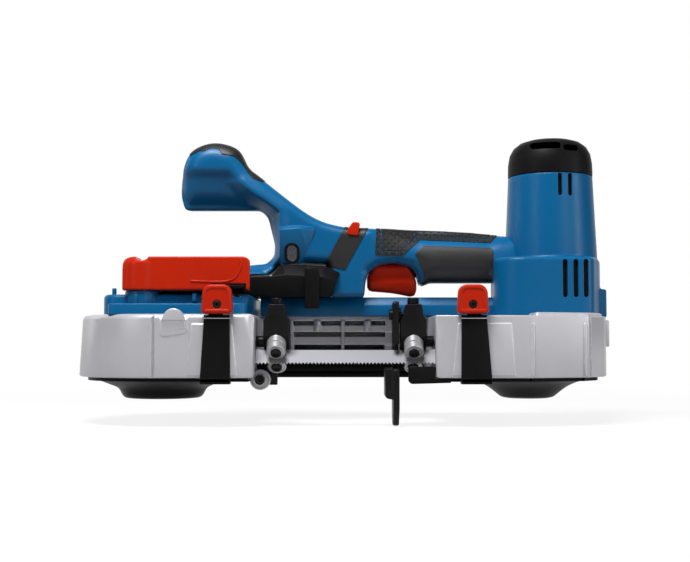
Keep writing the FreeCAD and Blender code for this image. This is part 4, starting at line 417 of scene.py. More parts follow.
def as_object(shape, name="scrap"):
    mesh = bpy.data.meshes.new(name)
    shape.to_mesh(mesh)
    shape.free()
    thing = bpy.data.objects.new(name, mesh)
    bpy.context.scene.collection.objects.link(thing)
    return thing


def copied(thing):
    shape = bmesh.new()
    shape.from_mesh(thing.data)
    return shape


def loosened(thing):
    """The shape of a scrap object, which is removed."""
    shape = copied(thing)
    bpy.data.objects.remove(thing)
    return shape


def settle(thing):
    """Bakes an object's modifiers into its mesh."""
    ready = thing.evaluated_get(bpy.context.evaluated_depsgraph_get())
    mesh = bpy.data.meshes.new_from_object(ready)
    thing.modifiers.clear()
    thing.data = mesh
    return thing


def worked(thing, kind, **settings):
    """Runs one modifier on an object."""
    step = thing.modifiers.new(kind.lower(), kind)
    for key, value in settings.items():
        setattr(step, key, value)
    return settle(thing)


def carve(thing, shape, how="DIFFERENCE"):
    """Cuts away, adds or keeps what a shape covers."""
    tool = as_object(shape)
    worked(thing, "BOOLEAN", operation=how, solver="MANIFOLD", object=tool)
    bpy.data.objects.remove(tool)
    return thing


def melt(thing, grain, passes):
    """Joins overlapping shapes into one skin and rounds their meeting lines."""
    worked(thing, "REMESH", mode="VOXEL", voxel_size=grain * MM)
    return worked(thing, "SMOOTH", iterations=passes, factor=0.5)


def put(name, shape, slot, *replaced, body="root", finish=None, sharp=32):
    """Names a finished piece, gives it its finish and lets it ride on its body."""
    thing = shape if isinstance(shape, bpy.types.Object) else as_object(shape, name)
    thing.name = name
    thing.data.name = name
    thing.data.materials.clear()
    thing.data.materials.append(finish or FINISH[slot])
    thing.data.polygons.foreach_set("use_smooth", [True] * len(thing.data.polygons))
    thing.data.set_sharp_from_angle(angle=math.radians(sharp))
    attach(thing, body)
    if replaced:
        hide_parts(*replaced)


# Handle body: knob, bridge, grip and column, as one skin that is split into two shells
BODY_Y, BODY_HALF, BODY_THIN = 12, 19, 4
TOP_LINE = [(-116.9, 105.5), (-119.6, 119.3), (-114.3, 143.8), (-96.9, 153.1), (-78.5, 148.5), (-70.3, 135.1),
            (-60.1, 126.5), (-25.3, 99.9), (-0.7, 91.5), (21.9, 90.4), (60, 89.4), (90, 87.9), (112, 85.8)]
LOWER_LINE = [(128, 84.6), (128, 52), (61.5, 52, 3), (53.5, 48.6, 2), (52.8, 54, 3), (47.5, 62.3, 5), (36, 65.6, 8),
              (24, 63.9, 8), (16.5, 58.5, 5), (14.5, 50, 3), (14, 40.6), (-10, 40.6), (-12, 64.8, 2), (-45, 66.2, 6),
              (-54, 57.6, 4), (-76, 56.2), (-76, 64, 1), (-57, 65.5, 4), (-51.5, 71, 4), (-51, 79, 6), (-56, 99, 6),
              (-61, 104.5, 5), (-114, 104.5, 4)]
ROUND_AT = [-90, -62, -40, 35, 62, 104, 112]
ROUND_SIZE = [14, 9, 6.5, 7, 15, 15, 9]
COLUMN_TOP, COLUMN_END, COLUMN_ROUND = 58, 40, 3
RECESS = [(-140, 134), (-82, 133), (-70.5, 119.5), (-45.8, 102.4), (-45.8, 58), (-90, 50), (-140, 90)]
RECESS_LIP, RECESS_SLOPE, RECESS_TOP, RECESS_FALL = 1.2, 0.34, 136, 32
KNOB_Z, KNOB_SOFT, BRIDGE_SOFT = 125, 6, 9
RIDGE = [(-74, 122.5), (-68.5, 117.5), (-47, 102.5), (-44.6, 95), (-45.4, 66)]
RIDGE_RISE, RIDGE_WIDTH = 1.6, 3.4
GRIP_MID, GRIP_CREST, GRIP_FROM = 62, 88.5, [18, 52]
SEAM = 0.1
COARSE_SKIN, FINE_SKIN = (1.3, 1), (1.2, 5)
SHELL_SCREWS = [(-100, 130), (-30, 92), (60, 72), (100, 72), (2, 52)]
DECK_SCREWS = [(-152, 36), (-73, 36), (-73, -41)]
SCREW_HEAD, HEAD_SUNK = (3.2, 2.2), 1.8
INLAY = [(22.8, 96), (21.6, 70.8), (40.6, 69.8), (54, 82), (104.6, 79.8), (111.2, 86.6), (112, 96)]
INLAY_BORDER, INLAY_FIELD = 3, 3.7
GRIP = [(50.2, 71.6), (56.2, 77.2), (104.4, 75.8), (106, 73.4), (106.2, 46), (55.6, 46), (56.4, 57.5), (53.8, 64)]
COLLAR = [(-14.8, 63.4), (0, 60.2), (20.5, 97), (3.2, 97)]
KNOB_PAD = [(-112, 142.6), (-109.6, 143.9), (-105.3, 146.1), (-100.5, 146.1), (-97.5, 148.2), (-91.4, 148.2),
            (-88.4, 143.5), (-80.1, 142.2), (-75.3, 138.3), (-70.6, 130.9), (-66.3, 126.1), (-59.3, 123.2),
            (-56, 130), (-66, 145), (-75, 157), (-97, 160), (-116, 156)]
PAD_RISE = 0.5
TRIGGER_WAY = (15.4, 52.6, 2.4, 21.6, 38, 73)
SPRING_WAY = (28, 40, 7, 17, 60, 79)
BUTTON_SIDE = [(1.8, 85.2, 1.2), (9.5, 84.4, 1.2), (10.8, 94, 1.6), (5.6, 94.4, 2), (2, 89.4, 1.6)]
BUTTON_TIGHT = 0.15


def body_outline():
    line = smooth_line(TOP_LINE)
    return line + rounded([tuple(line[-1])] + LOWER_LINE + [tuple(line[0])])[1:-1]


def line_distance(spots, line):
    """Distance of (x, z) spots to an open line."""
    nearest = np.full(len(spots), 1e9)
    for start, way in zip(line, np.diff(line, axis=0)):
        share = np.clip(((spots - start) @ way) / (way @ way), 0, 1)
        nearest = np.minimum(nearest, np.linalg.norm(spots - start - share[:, None] * way, axis=1))
    return nearest


def side_distance(spots, corners):
    """Distance of (x, z) spots to a closed outline, negative inside it."""
    ring = np.array([tuple(corner) for corner in [*corners, corners[0]]], float)
    inside = np.zeros(len(spots), bool)
    for start, end in zip(ring, ring[1:]):
        crosses = (start[1] > spots[:, 1]) != (end[1] > spots[:, 1])
        slope = (end[0] - start[0]) / ((end[1] - start[1]) or 1e-9)
        inside ^= crosses & (spots[:, 0] < start[0] + (spots[:, 1] - start[1]) * slope)
    nearest = line_distance(spots, ring)
    return np.where(inside, -nearest, nearest)


def swell_body(thing, outline):
    """Rounds the body's depth towards its outline, and sinks the palm recess into both sides."""
    spots = np.zeros(len(thing.data.vertices) * 3)
    thing.data.vertices.foreach_get("co", spots)
    spots = spots.reshape(-1, 3) / MM
    x, z, side = spots[:, 0], spots[:, 2], spots[:, (0, 2)]
    round_size = np.where((z < COLUMN_TOP) & (x < COLUMN_END), COLUMN_ROUND, np.interp(x, ROUND_AT, ROUND_SIZE))
    deep = np.clip(-side_distance(side, outline), 0, round_size)
    half = BODY_HALF - round_size + np.sqrt(round_size ** 2 - (round_size - deep) ** 2)
    sink = np.clip(-side_distance(side, RECESS) / np.where(z > KNOB_Z, KNOB_SOFT, BRIDGE_SOFT), 0, 1)
    half -= RECESS_LIP * np.sin(sink * math.pi / 2) + RECESS_SLOPE * np.clip(RECESS_TOP - z, 0, RECESS_FALL) * sink
    half += RIDGE_RISE * np.exp(-(line_distance(side, np.array(RIDGE)) / RIDGE_WIDTH) ** 2) * deep / round_size
    lift = np.clip((z - GRIP_MID) / (GRIP_CREST - GRIP_MID), 0, 0.96)
    half *= 1 - np.interp(x, GRIP_FROM, [0, 1]) * (1 - np.sqrt(1 - lift ** 2))
    spots[:, 1] = BODY_Y + (spots[:, 1] - BODY_Y) * np.maximum(half, BODY_THIN) / BODY_HALF
    thing.data.vertices.foreach_set("co", (spots * MM).ravel())
    thing.data.update()


def body_skin():
    outline = body_outline()
    thing = as_object(prism(outline, "Y", BODY_Y - BODY_HALF, BODY_Y + BODY_HALF))
    melt(thing, *COARSE_SKIN)
    swell_body(thing, outline)
    return melt(thing, *FINE_SKIN)


def half_shell(skin, front):
    """One half of the body, closed along the seam."""
    return cut_through(copied(skin), (0, BODY_Y - SEAM if front else BODY_Y + SEAM, 0), (0, 1, 0), front, not front)


def face_spots(shape):
    return np.array([(c.x / MM, c.z / MM) for c in (face.calc_center_median() for face in shape.faces)])


def drop_faces(shape, lost):
    bmesh.ops.delete(shape, geom=[face for face, gone in zip(shape.faces, lost) if gone], context="FACES")


def skin_patch(skin, outline, hollow=()):
    """A soft overmould: the body's skin inside an outline, and outside the hollow one, given thickness."""
    shape = copied(skin)
    drop_faces(shape, side_distance(face_spots(shape), outline) > 4)
    for ring in (outline, hollow):
        for start, end in zip(ring, [*ring[1:], *ring[:1]]):
            way = Vector(end) - Vector(start)
            cut_through(shape, PLANE["Y"](*start, 0), (way.y, 0, -way.x))
    lost = side_distance(face_spots(shape), outline) > 0
    if hollow:
        lost |= side_distance(face_spots(shape), hollow) < 0
    drop_faces(shape, lost)
    return worked(as_object(shape), "SOLIDIFY", thickness=PAD_RISE * MM, offset=1)


def button_way():
    """The cut for the lock-off button, a little tighter than the button, which fills it."""
    return prism(inset([(u, v) for u, v, radius in BUTTON_SIDE], BUTTON_TIGHT), "Y", -20, 44)


def sunk_screw(seat, out):
    """A screw with its head sunk into the surface at its seat."""
    return gathered(hex_screw(seat - out * HEAD_SUNK, out, *SCREW_HEAD), rod(1.6, seat - out * 12, seat - out, 16))


def shell_screw(skin, x, z):
    """A screw on the back of the body."""
    seat = skin.ray_cast(Vector((x, BODY_Y + 60, z)) * MM, TO_FRONT)[1].y / MM
    return sunk_screw(Vector((x, seat, z)), -TO_FRONT)


def build_handle():
    skin = body_skin()
    heads = [shell_screw(skin, x, z) for x, z in SHELL_SCREWS]
    heads += [sunk_screw(Vector((x, y, DECK_HIGH)), UP) for x, y in DECK_SCREWS]
    put("screw_set", gathered(*heads), "dark_screws", "housing_screws")
    border = skin_patch(skin, INLAY, inset(INLAY, INLAY_BORDER))
    field = skin_patch(skin, inset(INLAY, INLAY_FIELD))
    put("top_inlay", gathered(loosened(border), loosened(field)), "black_rubber", "handle_top_inlay",
        finish=INLAY_RUBBER)
    put("grip_sleeve", skin_patch(skin, GRIP), "black_rubber", "grip_rubber")
    put("knob_cushion", skin_patch(skin, KNOB_PAD), "black_rubber", "knob_pad")
    put("lock_collar", carve(skin_patch(skin, COLLAR), button_way()), "black_rubber", "lock_off_collar")
    carve(skin, gathered(block(*TRIGGER_WAY), button_way()))
    carve(skin, block(*SPRING_WAY))
    put("shell_front", half_shell(skin, True), "blue_plastic", "handle_shell_front", sharp=50)
    put("shell_rear", half_shell(skin, False), "blue_plastic", "handle_shell_rear", sharp=50)
    bpy.data.objects.remove(skin)


# Trigger and lock-off button
TRIGGER_FRONT, TRIGGER_BACK = 3, 21
TRIGGER_CREST, TRIGGER_LEAN, TRIGGER_BULGE = 57, 2, 0.6
TRIGGER_SIDE = [(16, 56), (16.2, 48.5), (17.4, 46.2), (20, 45.4), (26, 45), (34, 44.2), (41, 43), (47.5, 41.6),
                (50.8, 42.6), (52, 46.5), (51.8, 52), (50, 58.5), (45, 66), (22, 66)]
BUTTON_FRONT, BUTTON_BACK = -8.6, 32.6


def build_trigger():
    bean = melt(as_object(slab(TRIGGER_SIDE, "Y", TRIGGER_FRONT, TRIGGER_BACK, (3.4, 5))), 0.6, 4)
    for v in bean.data.vertices:
        aside = BODY_Y - v.co.y / MM
        lean = TRIGGER_LEAN * ((v.co.z / MM - TRIGGER_CREST) / 9) ** 2 - TRIGGER_BULGE
        v.co.y += math.copysign(lean, aside) * min(abs(aside) / 6, 1) * MM
    put("trigger_bean", bean, "red_plastic", "trigger", body="trigger", sharp=60)
    button = slab(BUTTON_SIDE, "Y", BUTTON_FRONT, BUTTON_BACK, (0.8, 3), steps=3)
    put("lock_button", button, "red_plastic", "lock_off_button", body="lock_off")


# Work light under the bridge
HOOD_CORNERS = [(-46.6, -12.6, 88.4), (-31.6, -12.6, 89.4), (-20.8, -7.6, 88.8), (-46.6, -5.6, 64.6),
                (-32.6, -5.6, 64.6), (-27, -6.8, 72), (-46.6, -6.6, 92.2), (-31.6, -6.6, 92.6), (-22, -6.6, 91.2),
                (-46.6, 2, 92.6), (-21, 2, 91), (-46.6, 2, 64.6), (-27, 2, 66)]
HOOD_TOP, HOOD_FOOT = (-12.6, 88.9), (-5.6, 64.6)
HOOD_SLOPE = Vector((0, HOOD_FOOT[0] - HOOD_TOP[0], HOOD_FOOT[1] - HOOD_TOP[1])).normalized()
HOOD_OUT = Vector((0, HOOD_SLOPE.z, -HOOD_SLOPE.y))
LENS_LEFT, LENS_RIGHT, LENS_BOTTOM, LENS_TOP = -41.6, -34, 66.2, 78.2
CELL = [(0, 0.4), (1.6, 0.5), (2.6, 1.2), (2.9, 1.3), (2.9, 0)]
CELL_IN = 3.6


def on_hood(x, z, out):
    """A spot on the sloping front of the light's hood, at a height and a distance out from it."""
    down = (HOOD_TOP[1] - z) / (HOOD_TOP[1] - HOOD_FOOT[1])
    return Vector((x, HOOD_TOP[0] + (HOOD_FOOT[0] - HOOD_TOP[0]) * down, z)) + HOOD_OUT * out


def lens_pill(grow, low, high):
    """An upright pill on the hood's front, larger than the lens all round, from one distance out to another."""
    half = (LENS_RIGHT - LENS_LEFT) / 2 + grow
    tall = LENS_TOP - LENS_BOTTOM + 2 * grow
    flat = slab(box_corners(-half, half, 0, tall, half), "Z", low, high, steps=10)
    turn = Matrix((Vector((1, 0, 0)), -HOOD_SLOPE, HOOD_OUT)).transposed()
    bmesh.ops.rotate(flat, verts=flat.verts, cent=(0, 0, 0), matrix=turn)
    foot = on_hood((LENS_LEFT + LENS_RIGHT) / 2, LENS_BOTTOM - grow, 0)
    bmesh.ops.translate(flat, verts=flat.verts, vec=foot * MM)
    bmesh.ops.recalc_face_normals(flat, faces=flat.faces)
    return flat


def build_work_light():
    hood = bmesh.new()
    corners = [hood.verts.new(Vector(corner) * MM) for corner in HOOD_CORNERS]
    bmesh.ops.convex_hull(hood, input=corners)
    bmesh.ops.dissolve_limit(hood, angle_limit=math.radians(2), verts=hood.verts, edges=hood.edges)
    put("light_hood", soften(hood, hood.edges[:], 0.6, 2), "blue_plastic")
    ring = carve(as_object(lens_pill(1.6, -2, 1)), lens_pill(0, -0.6, 4))
    put("light_ring", ring, "black_plastic", "led_bezel")
    put("light_lens", lens_pill(-0.1, -0.5, 0.5), "clear_lens", "led_lens")
    feet = [on_hood((LENS_LEFT + LENS_RIGHT) / 2, z, -0.9) for z in (LENS_BOTTOM + CELL_IN, LENS_TOP - CELL_IN)]
    cells = [lathe(CELL, foot, HOOD_OUT, 28) for foot in feet]
    put("light_cells", gathered(*cells), "terminal_brass", finish=LIGHT_CELL)


# Battery dock, hanging hook and hinge pins
DOCK_SIDE = [(-72, 41), (-10.2, 41), (-3, 59), (-14.8, 63), (-45, 64.4), (-53, 55.4), (-72, 54.4)]
DOCK_FRONT, DOCK_BACK, DOCK_SLOPE = -14, 38, 8
DOCK_CORE = (-152, -71, -10, 34, 41, 48.6, 0.4)
DOCK_FLANGE = (-152, -71, DOCK_FRONT, DOCK_BACK, 46, 49, 0.4)
TERMINAL_YS = (-1.5, 7.5, 16.5, 25.5)
HOOK_SIDE = [(-28.4, 32, 1.2), (-18, 32, 1.2), (-17.9, 61.2, 5), (-28.5, 61.2, 2)]
HOOK_FRONT, HOOK_BACK = -20.4, -14.4
HOOK_PIN_X, HOOK_PIN_Z = -23.2, 56
PIN_X, PIN_Y, PIN_Z, PIN_HALF = 85.3, -64.4, 30.5, 8.6


def latch_rod(side, radius, half, steps):
    """A bar along the hinge line of a latch."""
    return rod(radius, (side * PIN_X - half, PIN_Y, PIN_Z), (side * PIN_X + half, PIN_Y, PIN_Z), steps)


def build_dock():
    shape = prism(DOCK_SIDE, "Y", DOCK_FRONT, DOCK_BACK)
    top = [edge for edge in rim(shape, "Y", DOCK_FRONT) if min(v.co.z for v in edge.verts) > 55 * MM]
    soften(shape, top, DOCK_SLOPE, 1)
    soften(shape, shape.edges[:], 0.7, 2)
    seats = [block(-73.6, -62, y - 0.9, y + 0.9, 48, 57.2) for y in TERMINAL_YS]
    dock = carve(as_object(gathered(shape, block(*DOCK_CORE), block(*DOCK_FLANGE))), gathered(*seats))
    put("dock", dock, "black_plastic", "battery_dock")
    hook = slab(HOOK_SIDE, "Y", HOOK_FRONT, HOOK_BACK, (1.4, 3), steps=4)
    put("hook_bar", hook, "black_plastic", "hanging_hook", body="hook")
    pins = [latch_rod(side, 1.2, PIN_HALF, 20) for side in (-1, 1)]
    pins.append(rod(2.5, (HOOK_PIN_X, HOOK_FRONT + 1, HOOK_PIN_Z), (HOOK_PIN_X, DOCK_FRONT + 5, HOOK_PIN_Z), 24))
    put("pins", gathered(*pins), "dark_screws", "hinge_pins")


# Tension lever
PIVOT = (-139, -38)
LEVER_FRONT, LEVER_BACK = -49, -27
LEVER_LOW, LEVER_HIGH = 43.7, 66.5
LEVER_START, LEVER_END = PIVOT[0] - 11.6, -64.2
LEVER_BOSS, BOSS_TOP = 13.2, LEVER_HIGH - 4.2
NOTCH_X, NOTCH_Z, NOTCH_RADIUS = -137.4, 68.8, 5.2
BEAD = [(-104.4, 49.8), (-78.8, 49.8), (-70.7, 58), (-70.7, 65)]
BEAD_FRONT = LEVER_FRONT - 0.2


def build_lever():
    side = [(LEVER_START, LEVER_LOW, 1), (LEVER_END, LEVER_LOW, 2), (LEVER_END, LEVER_HIGH, 5),
            (LEVER_START, LEVER_HIGH, 8)]
    arm = slab(side, "Y", LEVER_FRONT + 0.3, LEVER_BACK - 0.3, steps=6)
    boss = rod(LEVER_BOSS, (*PIVOT, LEVER_LOW), (*PIVOT, BOSS_TOP), 64)
    crown = lathe([(LEVER_BOSS, BOSS_TOP - 0.1), (LEVER_BOSS - 1.2, LEVER_HIGH - 1.6), (LEVER_BOSS - 4, LEVER_HIGH),
                   (0, LEVER_HIGH)], (*PIVOT, 0), UP, 64)
    foot = lathe([(0, BOSS_TOP - 0.2), (LEVER_BOSS, BOSS_TOP - 0.2), (LEVER_BOSS, BOSS_TOP)], (*PIVOT, 0), UP, 64)
    crown = gathered(crown, foot)
    bmesh.ops.remove_doubles(crown, verts=crown.verts, dist=0.2 * MM)
    lever = melt(as_object(gathered(arm, boss, crown)), 0.7, 8)
    carve(lever, rod(NOTCH_RADIUS, (NOTCH_X, LEVER_FRONT - 5, NOTCH_Z), (NOTCH_X, LEVER_BACK + 5, NOTCH_Z), 40))
    carve(lever, block(-90.5, -66.8, LEVER_FRONT - 1, LEVER_BACK + 1, LEVER_LOW - 1, 48.2, 0.6))
    end = [(LEVER_END + 0.2, LEVER_FRONT - 1), (LEVER_END - 2.2, LEVER_BACK + 1), (LEVER_END + 9, LEVER_BACK + 1),
           (LEVER_END + 9, LEVER_FRONT - 1)]
    carve(lever, prism(end, "Z", LEVER_LOW - 1, LEVER_HIGH + 1))
    put("lever_arm", lever, "red_plastic", "tension_lever", body="lever", sharp=45)
    bead = prism(ribbon(smooth_line(BEAD, 5), 1.5), "Y", BEAD_FRONT, LEVER_FRONT + 2)
    put("lever_bead", soften(bead, rim(bead, "Y", BEAD_FRONT), 0.5, 2), "red_plastic", body="lever")


# Tension deck
DECK_LEFT, DECK_RIGHT = -164, -61
DECK_FRONT, DECK_BACK = -53, 50
DECK_LOW, DECK_STEP, DECK_HIGH = 27, 34.5, 41
DECK_PLAN = [(DECK_LEFT - 1.4, DECK_FRONT + 9, 10), (-63.6, DECK_FRONT + 9, 8), (-63.6, DECK_BACK, 12),
             (DECK_LEFT - 1.4, DECK_BACK, 12)]
PANEL_PLAN = [(-159.6, DECK_FRONT, 4), (-65.6, DECK_FRONT, 7), (-65.6, DECK_FRONT + 14), (-159.6, DECK_FRONT + 14)]
DECK_FINS = [(-141.8, -139.8, DECK_FRONT + 2, DECK_FRONT + 10, DECK_STEP - 1, DECK_HIGH, 0.5),
             (-103.3, -100.7, DECK_FRONT + 6, DECK_FRONT + 10, 36, DECK_HIGH + 0.6, 0.4),
             (-163.4, -160.6, -19.5, -16.5, DECK_HIGH - 2, DECK_HIGH + 5.4, 0.6)]


def build_deck():
    body = slab(DECK_PLAN, "Z", DECK_LOW, DECK_HIGH, (2.6, 4), HIGH_END, 8)
    panel = slab(PANEL_PLAN, "Z", DECK_LOW, DECK_STEP, (0.7, 2), HIGH_END, 6)
    boss = rod(11.2, (*PIVOT, DECK_STEP - 1), (*PIVOT, LEVER_LOW - 0.3), 64, 0.8)
    fins = [block(*fin) for fin in DECK_FINS]
    put("deck_cover", gathered(body, panel, boss, *fins), "blue_plastic", "tension_deck")


# Cover latches
LATCH_X = 84.2
LATCH_FRONT, LATCH_BACK = -68.6, -62.8
LATCH_LOW, LATCH_HIGH = 27.1, 46.6
LATCH_FOOT, LATCH_HEAD = 21.2, 18.8
LATCH_SCREW_Z, SCREW_SEAT = 33.4, 2.35
POCKET_HALF = 5.6
LATCH_SCREW = [(0, 0), (2.6, 0), (2.6, 1.4), (2.1, 1.9), (1.45, 1.9), (1.2, 1.7), (1.2, 0.5), (0, 0.5)]
LATCH_RING = [(2.75, 0), (2.75, 1.3), (2.4, 1.75), (1.5, 1.75), (1.5, 0)]


def build_latch(name, body, side):
    x, pin = side * LATCH_X, side * PIN_X
    foot, head = LATCH_FOOT / 2, LATCH_HEAD / 2
    shape = slab([(x - foot, LATCH_LOW, 2.8), (x + foot, LATCH_LOW, 2.8), (x + head, LATCH_HIGH, 6),
                  (x - head, LATCH_HIGH, 6)], "Y", LATCH_FRONT, LATCH_BACK, (1.5, 3), LOW_END, 7)
    front = max((face for face in shape.faces if face.normal.y < -0.9), key=lambda face: face.calc_area())
    bmesh.ops.inset_region(shape, faces=[front], thickness=1 * MM, depth=0)
    bmesh.ops.inset_region(shape, faces=[front], thickness=0.5 * MM, depth=-0.5 * MM)
    latch = as_object(soften(shape, rim(shape, "Y", LATCH_BACK), 0.8, 2))
    carve(latch, block(pin - POCKET_HALF, pin + POCKET_HALF, -67.5, -60, LATCH_LOW - 2, 33.6))
    carve(latch, rod(2.9, (x, LATCH_FRONT - 2, LATCH_SCREW_Z), (x, LATCH_FRONT + 2.4, LATCH_SCREW_Z), 32))
    put(body + "_cap", latch, "red_plastic", name, body=body)
    seat = (x, LATCH_FRONT + SCREW_SEAT, LATCH_SCREW_Z)
    screw = gathered(lathe(LATCH_SCREW, seat, TO_FRONT, 6), lathe(LATCH_RING, seat, TO_FRONT, 40))
    put(body + "_screw", screw, "dark_screws", body=body)


def build_latches():
    build_latch("cover_latch_left", "latch_left", -1)
    build_latch("cover_latch_right", "latch_right", 1)


# Motor tower
CUP_PLAN = [(104.4, -31.7, 20), (171, -31.7, 9), (179.6, -13.5, 8), (184.4, 4, 8), (184.4, 14, 8), (176, 36, 10),
            (150, 47.7, 10), (136, 47.7, 10), (113.5, 35, 10), (106.6, 14, 10)]
CUP_TOP, CUP_LOW, CUP_WALL, CUP_STEPS = 68, 26, 3, 14
CUP_SLOTS, CUP_SLOT = (152.2, 159.6, 166.6), (3.4, 39.5, 66)
MOTOR = (150.4, 12)
TOWER_FOOT, TOWER_TOP, TOWER_WALL = 35.2, 30.4, 2.6
TOWER_TAB = (179, 186.9, -6, 22, CUP_LOW, 46.5, 1.2)
TOWER_SLOTS, TOWER_SLOT = (151.8, 159.1), (2.9, 112, 128.2)
# Black sheets just behind the vent slots: painted shade that darkens the slots.
CUP_SHADE_SHEET = (149, 169, -29.4, -28.6, 37, 66.5)
TOWER_SHADE_RING = [(27.6, 108), (28.5, 108), (28.5, 128.4), (27.6, 128.4), (27.6, 108)]
CAP_LOW, CAP_WALL = 129, 2.5
CAP_SIDE = [(30.5, CAP_LOW), (30.6, 131), (30.4, 138), (29.2, 145), (26.5, 150), (22, 153.6), (16, 155.5), (8, 156.4),
            (0, 156.5)]
CAP_SLOTS = [(-18, 3.2, 145.9, 151.2, 2.6), (4.6, 16, 144.6, 149.2, 2.2)]


def upright_slot(x, width, z0, z1, y0, y1):
    return slab(box_corners(x - width / 2, x + width / 2, z0, z1, width / 2), "Y", y0, y1, steps=4)


def build_tower():
    cup = slab(CUP_PLAN, "Z", CUP_LOW, CUP_TOP, (2.6, 4), HIGH_END, CUP_STEPS)
    tower = lathe([(0, CUP_LOW), (TOWER_FOOT, CUP_LOW), (TOWER_TOP, CAP_LOW), (0, CAP_LOW)], (*MOTOR, 0), UP, 96)
    case = melt(as_object(gathered(cup, tower, block(*TOWER_TAB))), 0.9, 3)
    carve(case, block(MOTOR[0] - 60, MOTOR[0] + 60, MOTOR[1] - 60, MOTOR[1] + 60, CAP_LOW - 0.4, CAP_LOW + 10))
    rooms = [prism(inset(rounded(CUP_PLAN, CUP_STEPS), CUP_WALL), "Z", CUP_LOW - 5, CUP_TOP - CUP_WALL),
             rod(TOWER_TOP - TOWER_WALL, (*MOTOR, CUP_TOP - 20), (*MOTOR, CAP_LOW + 5), 72)]
    slots = [upright_slot(x, *CUP_SLOT, -40, -8) for x in CUP_SLOTS]
    slots += [upright_slot(x, *TOWER_SLOT, -30, -8) for x in TOWER_SLOTS]
    carve(case, gathered(*rooms))
    carve(case, gathered(*slots))
    put("tower", case, "blue_plastic", "motor_housing", sharp=40)
    # Painted shade: black sheets inside the cup and tower walls, so the vent slots read dark.
    shade_sheets = gathered(block(*CUP_SHADE_SHEET), lathe(TOWER_SHADE_RING, (*MOTOR, 0)))
    put("vent_shade_sheets", shade_sheets, "black_plastic")
    inner = [(max(r - CAP_WALL, 0), z - CAP_WALL) for r, z in CAP_SIDE[1:]]
    cap = lathe(CAP_SIDE + inner[::-1] + [(CAP_SIDE[0][0] - CAP_WALL, CAP_LOW), CAP_SIDE[0]], (*MOTOR, 0), UP, 96)
    cuts = [slab(box_corners(MOTOR[0] + u0, MOTOR[0] + u1, *rest), "Y", -30, 4) for u0, u1, *rest in CAP_SLOTS]
    put("end_cap", carve(as_object(cap), gathered(*cuts)), "black_plastic", "motor_end_cap", sharp=40)


# Cast frame: two housings joined by the throat wall
CAST_LOW, CAST_HIGH, LEFT_HIGH, CROWN_HIGH = -15.2, 26.4, 27.4, 28.6
CAST_FRONT = 62
LEFT_END, LEFT_BEND, DRAFT = -188.4, -127.3, 0.984
THROAT, THROAT_ROUND = 60, 3.2
WHEEL_X, WHEEL_ROOM, WHEEL_SLIDE, ROOM_TOP = 130, 52.4, 6, 21.5
RUN_ROOM = (-57.1, -43.2, CAST_LOW - 5, 9.5)
BACK_ROOM = (-WHEEL_X, WHEEL_X, 46.1, 54.2, CAST_LOW - 5, 9.5)
CHAMFER = Vector((0.30, -0.94, 0.09))
RIGHT_PLAN = [(THROAT, -62, 4), (111, -62, 0.8), (124.8, -61.4, 1), (165, -47.5, 1.5), (179, -30, 3), (183.4, -16, 3),
              (184.6, 0, 3), (183.4, 16, 3), (179, 30, 3), (165, 47.5, 1.5), (124.8, 61.4, 1), (THROAT, 62, 4)]
CROWN_PLAN = [(126.5, -59, 2), (165, -45, 6), (178, -28, 6), (182, 0, 4), (178, 28, 6), (165, 45, 6), (126.5, 59, 2)]
RIGHT_TAB = (182, 186.9, -12, 12, 5.4, 24, 0.8)
LEFT_BED = [(-104.5, -13.8), (-71.5, -13.8), (-75, 20.6), (-101.5, 20.6)]
RIGHT_BED = [(71.5, -13.8), (112.6, -13.8), (110.2, 21), (75, 21)]
BED_FRONT, BED_BACK, BED_SOFT = -62.5, -60, (0.5, 2)
EAR_X, EAR_Z, EAR_RADIUS, EAR_TALL, EAR_FRONT, EAR_BACK = -113.5, 22.6, 7.3, 1.15, -64.2, -58
PAD_SIDE = [(EAR_X - 9.2, 11.5, 3), (EAR_X + 9.2, 14.5, 4), (EAR_X + 9.2, 24), (EAR_X - 9.2, 24)]
GUSSET = [(EAR_FRONT + 0.1, EAR_Z), (-61.8, 14.2), (-59, 14.2), (-59, EAR_Z)]
LEFT_GROOVE = [(LEFT_BEND - 1.7, -63), (LEFT_BEND + 0.3, -60.2), (LEFT_BEND + 1.9, -63)]
RIGHT_GROOVE = [(163.6, -50.2), (165.6, -45.4), (168, -46.6)]
WALL_TOP = 27.4
SPINE = [(12, WALL_TOP), (12, 16.2), (18.5, 15.8), (18.5, 7), (28, 6.6), (28, -1.5), (44, -7.5), (62, -7.5), (62, 24.5),
         (40, WALL_TOP)]
WALL_RIB = [(11.2, 24.4), (11.2, 16), (17.6, 15.4), (17.6, 6.4), (27, 6), (27, -1), (40, -1), (30, 24.4)]
WALL_RIB_XS, WALL_RIB_HALF = (-38.8, -1.65), 1.15
SLOT_ROWS = [(20.8, 24), (12.6, 15.8), (3, 6.6)]
SLOT_SPANS = [(-37.6, -2.9), (-0.4, 29.4)]
WALL_BOSS_XS = (-20, 16.4)


def wall_y(z):
    """Depth of the slanted throat wall at a height."""
    return 12 + (20.5 - z) * 32 / 28


def left_plan():
    reach = LEFT_BEND - LEFT_END
    arc = [Vector((LEFT_BEND + reach * math.cos(math.radians(a)), CAST_FRONT * math.sin(math.radians(a))))
           for a in range(90, 271, 5)]
    corner = rounded([(LEFT_BEND, -CAST_FRONT), (-THROAT, -CAST_FRONT, 4), (-THROAT, CAST_FRONT, 4),
                      (LEFT_BEND, CAST_FRONT)])
    return arc + corner[1:-1]


